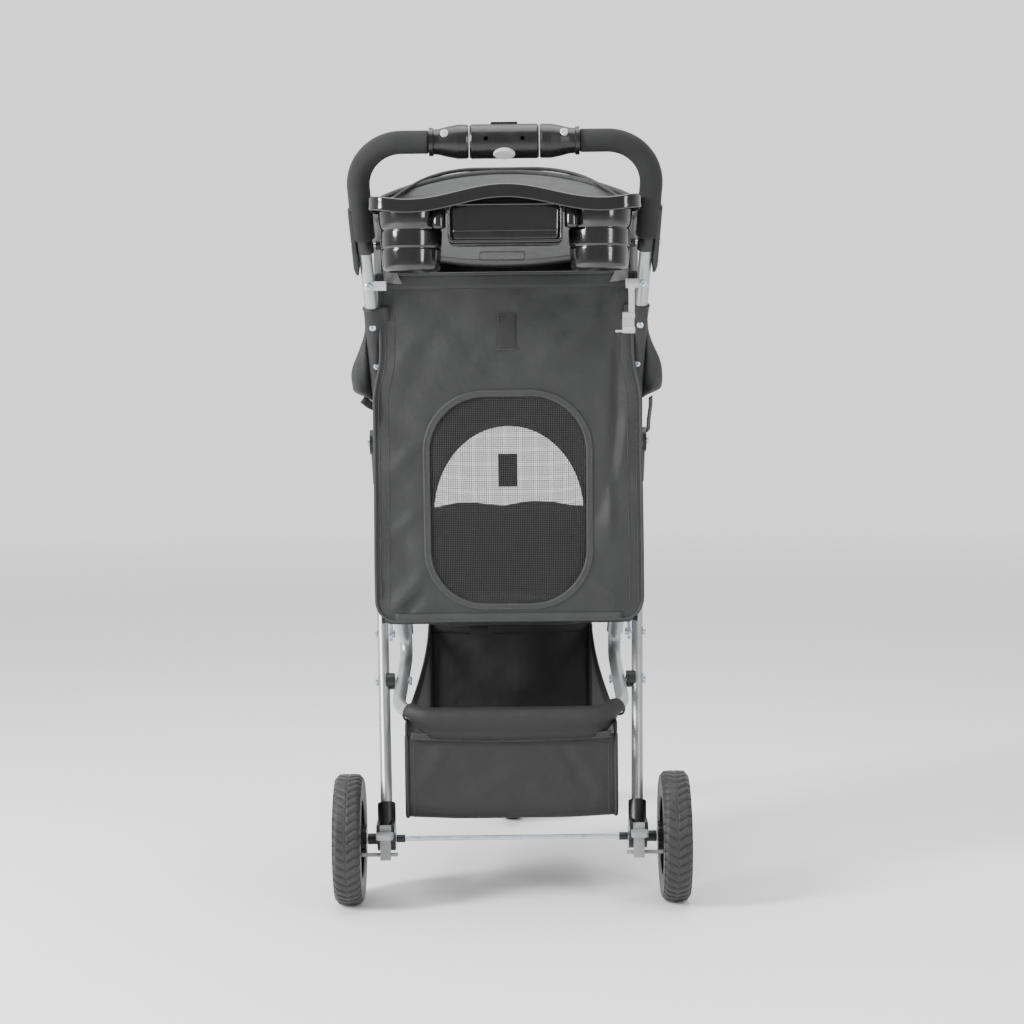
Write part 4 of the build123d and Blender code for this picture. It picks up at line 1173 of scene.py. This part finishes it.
def tyre_tread(name, node):
    """Foam-rubber tyre: crowned tread with a centre seam, chevron grooves and ribbed shoulders."""
    low, high = (Vector(corner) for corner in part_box(node))
    middle = (low + high) / 2
    radius, half = (high.z - low.z) / 2, (high.x - low.x) / 2
    rim = radius * 50 / 82.5 if radius > 0.08 else 0.050
    blocks, steps = 44, 10
    across = [-1.0, -0.99, -0.95, -0.86, -0.74, -0.58, -0.42, -0.26, -0.12, -0.04, 0.0,
              0.04, 0.12, 0.26, 0.42, 0.58, 0.74, 0.86, 0.95, 0.99, 1.0]
    count = blocks * steps
    points = []
    for i in range(count):
        turn = 2 * pi * i / count
        for s in across:
            crown = radius - 0.0010 * s * s - 0.0045 * smooth_step(abs(s), 0.72, 1.0)
            place = (i / steps + abs(s) * 0.9) % 1.0
            groove = smooth_step(place, 0.0, 0.12) * (1 - smooth_step(place, 0.26, 0.38))
            groove *= 1 - 0.5 * smooth_step(abs(s), 0.86, 1.0)
            cut = 0.0026 * groove * smooth_step(abs(s), 0.03, 0.1) * (1 - smooth_step(abs(s), 0.985, 1.0))
            seam = 0.0011 * bell(s, 0.035)
            r = crown - cut - seam
            points.append(middle + Vector((s * half, r * cos(turn), r * sin(turn))))
    wide = len(across)
    faces = grid_faces(count, wide)
    faces += [((count - 1) * wide + j, (count - 1) * wide + j + 1, j + 1, j) for j in range(wide - 1)]
    walls = []
    for way in (-1, 1):
        profile = [(1.0, radius - 0.0055), (1.0, radius - 0.014), (0.985, radius - 0.0165),
                   (0.985, radius - 0.0185), (1.0, radius - 0.0210), (0.99, rim + 0.006),
                   (0.93, rim + 0.0015), (0.88, rim)]
        edge = 0 if way < 0 else wide - 1
        ring = [k * wide + edge for k in range(count)]
        rows = [ring]
        for reach, r in profile[1:]:
            first = len(points)
            for k in range(count):
                turn = 2 * pi * k / count
                points.append(middle + Vector((way * half * reach, r * cos(turn), r * sin(turn))))
            rows.append(list(range(first, first + count)))
        for inner, outer in zip(rows, rows[1:]):
            for k in range(count):
                n = (k + 1) % count
                quad = (inner[k], inner[n], outer[n], outer[k])
                faces.append(quad if way > 0 else tuple(reversed(quad)))
        walls.append(rows[-1])
    left, right = walls
    for k in range(count):
        n = (k + 1) % count
        faces.append((left[k], left[n], right[n], right[k]))
    made = piece(name, points, faces, "tyre")
    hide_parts(node)
    return made


# ------------------------------------------------------------------------------- tray

TRAY_Y = -101.0
TRAY_HALF = (160.0, 47.0)
BAND_TOP = 879.8        # the tray band's edges at its ends
BAND_LOW = 863.0
CUP_X = 113.5
GRIP = (176.0, -75.7)   # the foam grip beside the tray's end, and the room it needs
GRIP_ROOM = 14.6


def tray_wave(x, low):
    """Height of the tray band's top or low edge at a place across it."""
    k = abs(x) / TRAY_HALF[0]
    crest = 0.5 + 0.5 * cos(pi * min(1.0, k / 0.72))
    rise = smooth_step(k, 0.74, 1.06)
    return (BAND_LOW if low else BAND_TOP) + 17.2 * crest + 5.0 * rise


def clear_of_tubes(x, y):
    """Moves a place on the tray's outline out of the grip that passes its end."""
    for side in SIDES.values():
        dx, dy = x - side * GRIP[0], y - GRIP[1]
        gap = hypot(dx, dy)
        if gap < GRIP_ROOM:
            return side * GRIP[0] + dx * GRIP_ROOM / gap, GRIP[1] + dy * GRIP_ROOM / gap
    return x, y


def tray_plan(inset):
    ring = rounded_outline(TRAY_HALF[0] + 4 - inset, TRAY_HALF[1] - inset, 30 - inset * 0.6, 200)
    return [clear_of_tubes(x, TRAY_Y + y) for x, y in ring]


def tray_skirt():
    """Band round the tray: rolled top edge, slightly flared wall and a folded-in foot."""
    profile = [(5.0, 0, -4.2), (3.2, 0, -1.2), (1.8, 0, 0.0), (0.7, 0, -0.5), (0.1, 0, -2.0), (0.0, 0, -5.0),
               (0.2, 0.5, 0.0), (0.0, 1, 4.0), (-0.3, 1, 1.6), (0.2, 1, 0.2), (1.2, 1, 0.0), (2.2, 1, 0.8),
               (2.6, 1, 4.0), (2.8, 0, -8.0), (5.0, 0, -7.4)]
    rings = [tray_plan(inset) for inset, _, _ in profile]
    points = []
    for ring, (_, down, lift) in zip(rings, profile):
        for x, y in ring:
            z = tray_wave(x, False) * (1 - down) + tray_wave(x, True) * down + lift
            points.append(at(x, y, z))
    return points, wrapped_faces(len(profile), len(rings[0]))


def ray_to_box(turn, x0, x1, y0, y1, corner):
    """Where a ray from the box's centre meets its outline, with rounded corners."""
    half_x, half_y = (x1 - x0) / 2, (y1 - y0) / 2
    c, s = cos(turn), sin(turn)
    reach = min(half_x / max(abs(c), 1e-9), half_y / max(abs(s), 1e-9))
    u, v = c * reach, s * reach
    du, dv = abs(u) - (half_x - corner), abs(v) - (half_y - corner)
    if du > 0 and dv > 0:
        shrink = corner / hypot(du, dv)
        u = (1 if u > 0 else -1) * (half_x - corner + du * min(1.0, shrink))
        v = (1 if v > 0 else -1) * (half_y - corner + dv * min(1.0, shrink))
    return (x0 + x1) / 2 + u, (y0 + y1) / 2 + v


def tray_deck():
    """Top of the tray with its three openings, in three ring-shaped cells."""
    parts = []
    count, rings = 120, 9
    cells = [(-162, -70.5, 28), (-70.5, 70.5, 0.5), (70.5, 162, 28)]
    for x0, x1, corner in cells:
        inner, outer = [], []
        for k in range(count):
            turn = 2 * pi * (k + 0.5) / count
            x, y = ray_to_box(turn, x0, x1, TRAY_Y - 44.5, TRAY_Y + 44.5, corner)
            outer.append(clear_of_tubes(x, y))
            if corner < 1:
                inner.append(ray_to_box(turn, -66, 66, TRAY_Y - 34.5, TRAY_Y + 34.5, 15))
            else:
                middle = CUP_X if x0 > 0 else -CUP_X
                inner.append((middle + 38.2 * cos(turn), TRAY_Y + 38.2 * sin(turn)))
        points = []
        for i in range(rings):
            part = (i / (rings - 1)) ** 1.6
            lip = 1.6 * bell(part, 0.12)
            for (ax, ay), (bx, by) in zip(inner, outer):
                x, y = ax + (bx - ax) * part, ay + (by - ay) * part
                points.append(at(x, y, tray_wave(x, False) - 4.2 + lip))
        parts.append((points, grid_faces(rings, count, True)))
    return parts


def revolved(profile, x, y, count=72):
    """Closed profile of (radius, height) points turned about an upright line."""
    points = []
    for radius, z in profile:
        for k in range(count):
            turn = 2 * pi * k / count
            points.append(at(x + radius * cos(turn), y + radius * sin(turn), z))
    return points, wrapped_faces(len(profile), count)


def cup_well(side):
    """Cup holder: stepped outside with two ring grooves, smooth tapered well inside."""
    outer = [(40.8, 874.0), (40.6, 862.0), (39.4, 853.0), (38.2, 847.6), (37.5, 846.4), (36.5, 845.6),
             (36.3, 844.6), (37.2, 843.8), (37.4, 842.0), (36.8, 826.0), (36.6, 824.2), (35.7, 823.4),
             (35.5, 822.4), (36.3, 821.6), (36.4, 820.0), (35.4, 803.0), (34.6, 798.6), (32.6, 796.0),
             (29.5, 795.2), (28.0, 795.4), (27.4, 797.0)]
    inner = [(0.4, 797.0), (0.4, 799.4), (26.0, 799.4), (31.0, 800.0), (33.0, 802.4), (33.6, 806.0),
             (38.0, 870.0), (38.4, 878.4), (39.4, 878.8)]
    return revolved(outer + inner, side * CUP_X, TRAY_Y)


def compartment():
    """Middle compartment: tapered box with rounded edges, framed at the rear."""
    profile = [(0, 884.0), (0.4, 860.0), (1.0, 834.0), (1.8, 829.5), (3.6, 827.2), (6.4, 826.4),
               (67.5, 826.2), (67.5, 828.6), (8.0, 828.8), (5.4, 829.6), (4.2, 832.0), (3.4, 862.0),
               (3.0, 886.0)]
    count = 120
    rings = []
    for inset, z in profile:
        ring = []
        for k in range(count):
            turn = 2 * pi * (k + 0.5) / count
            half_x, half_y = max(0.6, 69.5 - inset), max(0.3, 37.8 - inset)
            x, y = ray_to_box(turn, -half_x, half_x, TRAY_Y - half_y, TRAY_Y + half_y, min(9.0, half_y * 0.9))
            ring.append(at(x, y, z))
        rings.append(ring)
    points = [p for ring in rings for p in ring]
    faces = wrapped_faces(len(rings), count)
    frame_path = []
    for u, v in rounded_outline(67.0, 22.0, 6.0, 80):
        frame_path.append(at(u, TRAY_Y - 38.0, 851 + v))
    border = [(-1.9, -1.4), (-1.5, 1.1), (0.0, 1.7), (1.5, 1.1), (1.9, -1.4)]
    frame_part = swept(frame_path, [(a / 1000, b / 1000) for a, b in border], Vector((0, -1, 0)), True)
    ridge_line = [at(x, TRAY_Y - 37.4, 841.5) for x in range(-64, 65, 8)]
    ridge = swept(ridge_line, round_section(0.0008, 8), Vector((0, -1, 0)))
    return [(points, faces), frame_part, ridge]


def tray():
    parts = [tray_skirt(), cup_well(-1), cup_well(1)] + compartment()
    boss = [(8.6, 874.0), (8.4, 848.0), (8.0, 845.4), (6.8, 845.0), (6.2, 846.4), (6.2, 870.0),
            (6.0, 874.0)]
    for side in SIDES.values():
        parts.append(revolved(boss, side * 79.5, TRAY_Y - 31.5, 40))
    body = joined("tray_body", parts, "tray")
    deck = thicken(joined("tray_deck", tray_deck(), "tray"), 0.0026)
    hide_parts("tray")
    return [body, deck]


# ----------------------------------------------------------- fastenings on the tubes

TUBE_TOP = (181, -110, 950)             # ends of the handle tube's straight run
TUBE_FOOT = (138.5, 180, 298.4)
TUBE_RUN = (at(*TUBE_FOOT) - at(*TUBE_TOP)).normalized() * -1
TUBE_AHEAD = Vector((0, TUBE_RUN.z, -TUBE_RUN.y))       # square to the tube, to the front


def tube_at(side, z, out=0.0, back=0.0):
    """A place beside the handle tube's middle line, in millimetres."""
    part = (TUBE_TOP[2] - z) / (TUBE_TOP[2] - TUBE_FOOT[2])
    x = TUBE_TOP[0] + (TUBE_FOOT[0] - TUBE_TOP[0]) * part
    y = TUBE_TOP[1] + (TUBE_FOOT[1] - TUBE_TOP[1]) * part
    return at(side * (x + out), y - back, z)


def screw_head(place, facing, radius):
    """Points and faces of a domed screw head with a cross recess."""
    facing = Vector(facing).normalized()
    aside = facing.orthogonal().normalized()
    up = facing.cross(aside)
    rings, count = 9, 32
    points = [place + facing * (radius * 0.42)]
    for i in range(1, rings):
        reach = i / (rings - 1)
        for k in range(count):
            turn = 2 * pi * k / count
            a, b = reach * cos(turn), reach * sin(turn)
            height = 0.42 * sqrt(max(0.0, 1 - reach ** 2 * 0.92))
            if reach < 0.6 and min(abs(a), abs(b)) < 0.13:
                height -= 0.2
            points.append(place + (aside * a + up * b + facing * height) * radius)
    first = len(points)
    for k in range(count):
        turn = 2 * pi * k / count
        points.append(place + (aside * cos(turn) + up * sin(turn) - facing * 0.25) * radius)
    faces = [(0, 1 + k, 1 + (k + 1) % count) for k in range(count)]
    faces += grid_faces(rings - 1, count, True, 1)
    for k in range(count):
        after = (k + 1) % count
        faces.append((first - count + k, first - count + after, first + after, first + k))
    return points, faces


def tube_tab(side):
    """Cloth tab of the cabin's rear corner, wrapped round the handle tube and sewn."""
    half_section = [(3.7, 9.1), (6.8, 7.0), (9.0, 3.9), (9.8, 0), (8.8, -4), (6.4, -8), (3.6, -12),
                    (1.7, -16), (1.3, -22)]
    section = [(0, 9.8)] + half_section + [(-a, b) for a, b in reversed(half_section)]
    out = Vector((side, 0, 0))
    points = []
    rows = 40
    for i in range(rows):
        z = 638 + 118 * i / (rows - 1)
        place = tube_at(side, z)
        aside = TUBE_AHEAD.normalized()
        for a, b in section:
            lump = 1 + 0.05 * ruffle(a * 2, b * 2, z, 14.0, side * 2.0) + 0.04 * sin(z / 5.5) * (b < 0)
            points.append(place + (aside * a * lump + out * b * lump) / 1000)
    name = hand(side)
    tab = piece(f"tube_tab_{name}", points, capped_faces(rows, len(section)), "cloth")
    heads = [screw_head(tube_at(side, z, 0.0, 9.6), (0, -1, -0.35), 0.0042) for z in (730, 682)]
    screws = joined(f"tube_tab_screws_{name}", heads, "zinc")
    edges = []
    turns = [2 * pi * k / 28 - pi * 0.62 for k in range(23)]
    for z in (640, 754):
        ring = [tube_at(side, z) + (TUBE_AHEAD * 9.9 * sin(t) + out * 9.9 * cos(t)) / 1000 for t in turns]
        edges.append(swept(ring, round_section(0.0012, 6), TUBE_RUN))
    hems = joined(f"tube_tab_hems_{name}", edges, "binding")
    return [tab, screws, hems]


def side_fold(side):
    """Slack of the cabin's side cloth, bunched outside the handle tube."""
    rows, cols = 34, 30
    points = []
    for i in range(rows):
        t = i / (rows - 1)
        z = 736 - 98 * t
        swell = smooth_step(t, 0.0, 0.75) * (1 - 0.92 * smooth_step(t, 0.86, 1.0))
        wide = 2.5 + 25.0 * swell
        deep = 5.0 + 17.0 * swell
        for k in range(cols):
            turn = 2 * pi * k / cols
            pleat = 1 + 0.10 * sin(3 * turn + t * 5)
            pleat += 0.10 * ruffle(cos(turn) * 20, sin(turn) * 20, z, 22.0, side)
            x = 8.0 + wide * 0.5 + wide * 0.5 * cos(turn) * pleat
            y = 8.0 + 10.0 * t + deep * sin(turn) * pleat
            points.append(tube_at(side, z, x, -y))
    name = hand(side)
    fold = piece(f"side_fold_{name}", points, capped_faces(rows, cols), "cloth")
    modifier(fold, "SUBSURF", levels=1, render_levels=1)
    if side > 0:
        path = [tube_at(side, 640, 22, -14), tube_at(side, 630, 23, -13), tube_at(side, 612, 22, -12),
                tube_at(side, 596, 22.5, -12)]
    else:
        path = [tube_at(side, 641, 24, -14), tube_at(side, 634, 16, -14), tube_at(side, 628, 4, -16),
                tube_at(side, 624, -8, -17)]
    flat_side = Vector((0, -1, 0.1)) if side < 0 else Vector((0.87, -0.5, 0.05))
    flat_side.normalize()
    strap = strip(f"side_strap_{name}", resample(path, 0.003), flat_side, 0.0105, 0.0016, "webbing")
    return [fold, strap]


CLAMP_SIDES = 36


def hood_arm(side):
    """Moulded strip on the outer side of the handle tube that carries the hood's bows."""
    rows, cols = 40, 28
    out = Vector((side, 0, 0))
    aside = TUBE_AHEAD.normalized()
    points = []
    for i in range(rows):
        t = i / (rows - 1)
        z = 795 + 78 * t
        tip = min(1.0, t / 0.16)
        wide = 9.5 * sqrt(max(0.02, 1 - (1 - tip) ** 2)) * (1 - 0.15 * t)
        thick = 3.9 * (0.45 + 0.55 * smooth_step(t, 0.0, 0.14))
        for k in range(cols):
            turn = 2 * pi * k / cols
            a = wide * (1 if cos(turn) > 0 else -1) * abs(cos(turn)) ** 0.45
            b = thick * (1 if sin(turn) > 0 else -1) * abs(sin(turn)) ** 0.6
            points.append(tube_at(side, z) + (aside * a + out * (12.2 + b)) / 1000)
    name = hand(side)
    arm = piece(f"hood_arm_{name}", points, capped_faces(rows, cols), "black")
    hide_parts(f"hood_bracket_{name}")
    clamp = [(8.05, 822.0), (10.6, 822.3), (11.0, 823.2), (11.0, 838.0), (10.6, 838.8), (8.05, 839.0)]
    rings = []
    for radius, z in clamp:
        place = tube_at(side, z)
        for k in range(CLAMP_SIDES):
            turn = 2 * pi * k / CLAMP_SIDES
            rings.append(place + (aside * radius * cos(turn) + out * radius * sin(turn)) / 1000)
    ring = piece(f"hood_arm_clamp_{name}", rings, wrapped_faces(len(clamp), CLAMP_SIDES), "black")
    inner = screw_head(tube_at(side, 826, -8.2), (-side, 0, 0), 0.0038)
    outer = screw_head(tube_at(side, 831, 16.4), (side, 0, 0), 0.0046)
    screws = joined(f"hood_arm_screws_{name}", [inner, outer], "zinc")
    return [arm, ring, screws]


def corner_bracket(side):
    """Pale moulded tab from the handle tube to the cabin's top corner, with its screw."""
    z = 781
    line = ((6, 4.5), (0, 8.9), (-7, 8.4), (-15, 7.6), (-22, 7.0))
    path = resample([tube_at(side, z, out, back) for out, back in line], 0.002)
    outline = ((-5.2, -0.9), (5.2, -0.9), (5.8, 0.0), (5.2, 1.2), (-5.2, 1.2), (-5.8, 0.0))
    section = [(a / 1000, b / 1000) for a, b in outline]
    tab = piece(f"corner_bracket_{hand(side)}", *swept(path, section, Vector((0, -1, 0))), "pale")
    head = screw_head(tube_at(side, z, -0.5, 10.2), (0, -1, 0.05), 0.0046)
    return [tab, piece(f"corner_screw_{hand(side)}", *head, "zinc")]


def corner_fold(side):
    """Loose end of the cabin's zip cover, folded over the panel's top corner."""
    def shape(down, across):
        u = side * (152 - 16 * across - 7 * down * across)
        v = PANEL_LENGTH + 6 - 15 * down - 3 * across
        lift = 3.0 + 4.5 * sin(pi * across) * (1 - 0.5 * down) + 1.5 * sin(7 * across + 4 * down)
        base = at(u, PANEL_LOW[0], PANEL_LOW[1]) + PANEL_UP * (v / 1000)
        return base + PANEL_OUT * (lift / 1000)

    return surface(f"corner_fold_{hand(side)}", shape, 14, 16, "grey_cloth", 0.0010)


def hub_rivets():
    """Two pale rivets on the upper rear of the hub's cones."""
    facing = Vector((0, -0.86, 0.51))
    heads = []
    for x in (-71.5, 71.5):
        heads.append(screw_head(at(x, TUBE_TOP[1], TUBE_TOP[2]) + facing * 0.0175, facing, 0.0050))
    return joined("hub_rivets", heads, "pale")


def floor_cloth():
    """Cabin's cloth bottom, under the padded floor and sewn to all four walls."""
    def shape(down, across):
        y = 29 + 399 * down
        half = 163 - 32 * smooth_step(y, 29, 110) - 4 * smooth_step(y, 200, 350)
        half -= 28 * smooth_step(y, 350, 426)
        wave = 1.2 * ruffle(across * 200, y, 0, 60.0) - 1.5 * sin(pi * down) * sin(pi * across)
        turned_up = 7.0 * max(abs(across * 2 - 1), abs(down * 2 - 1)) ** 30
        return at((across * 2 - 1) * half, y, 351 + wave + turned_up)

    return surface("cabin_bottom_cloth", shape, 40, 40, "cloth_dark", CLOTH)


# ------------------------------------------------------------------------ everything

FINISH = make_finishes()
add_camera()
add_studio()
finish_cad_nodes()

panel, *panel_pieces = rear_panel() + [window_netting()]
bend_cabin(panel, *panel_pieces)
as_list(panel_pieces)
for name, side in SIDES.items():
    wall, hem = cabin_wall(side), wall_hem(side)
    bend_cabin(wall, hem)
front, *front_pieces = front_wall()
for made in [front] + front_pieces:
    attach(made, "rear_frame")
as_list(front_pieces)
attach(floor_pad(), "rear_frame")

cover, *cover_pieces = hood_cover()
for made in [cover] + cover_pieces:
    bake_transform(made)
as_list(cover_pieces)
screen, *screen_pieces = front_screen()
for made in [screen] + screen_pieces:
    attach(made, "hood_front")
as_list(screen_pieces)
flap, *flap_pieces = rear_flap()
for made in [flap] + flap_pieces:
    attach(made, "handle_frame")
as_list(flap_pieces)
sling, *sling_pieces = basket_sling() + basket_side(-1) + basket_side(1)
trim, *straps = basket_front_trim()
for made in [sling, trim] + sling_pieces + straps:
    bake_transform(made)
sleeve, *sleeve_pieces = rim_sleeve()
for made in [sleeve] + sleeve_pieces:
    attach(made, "handle_frame")
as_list(sleeve_pieces)
for name in SIDES:
    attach(tyre_tread(f"rear_tread_{name}", f"rear_tyre_{name}"), f"rear_wheel_{name}")
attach(tyre_tread("front_tread", "front_tyre"), "front_wheel")
for made in tray():
    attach(made, "handle_frame")
for name, side in SIDES.items():
    fold, strap = side_fold(side)
    for made in [fold, strap] + tube_tab(side) + hood_arm(side) + corner_bracket(side) + [corner_fold(side)]:
        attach(made, "handle_frame")
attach(hub_rivets(), "handle_frame")
bottom = floor_cloth()
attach(bottom, "rear_frame")
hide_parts("cabin_brackets")
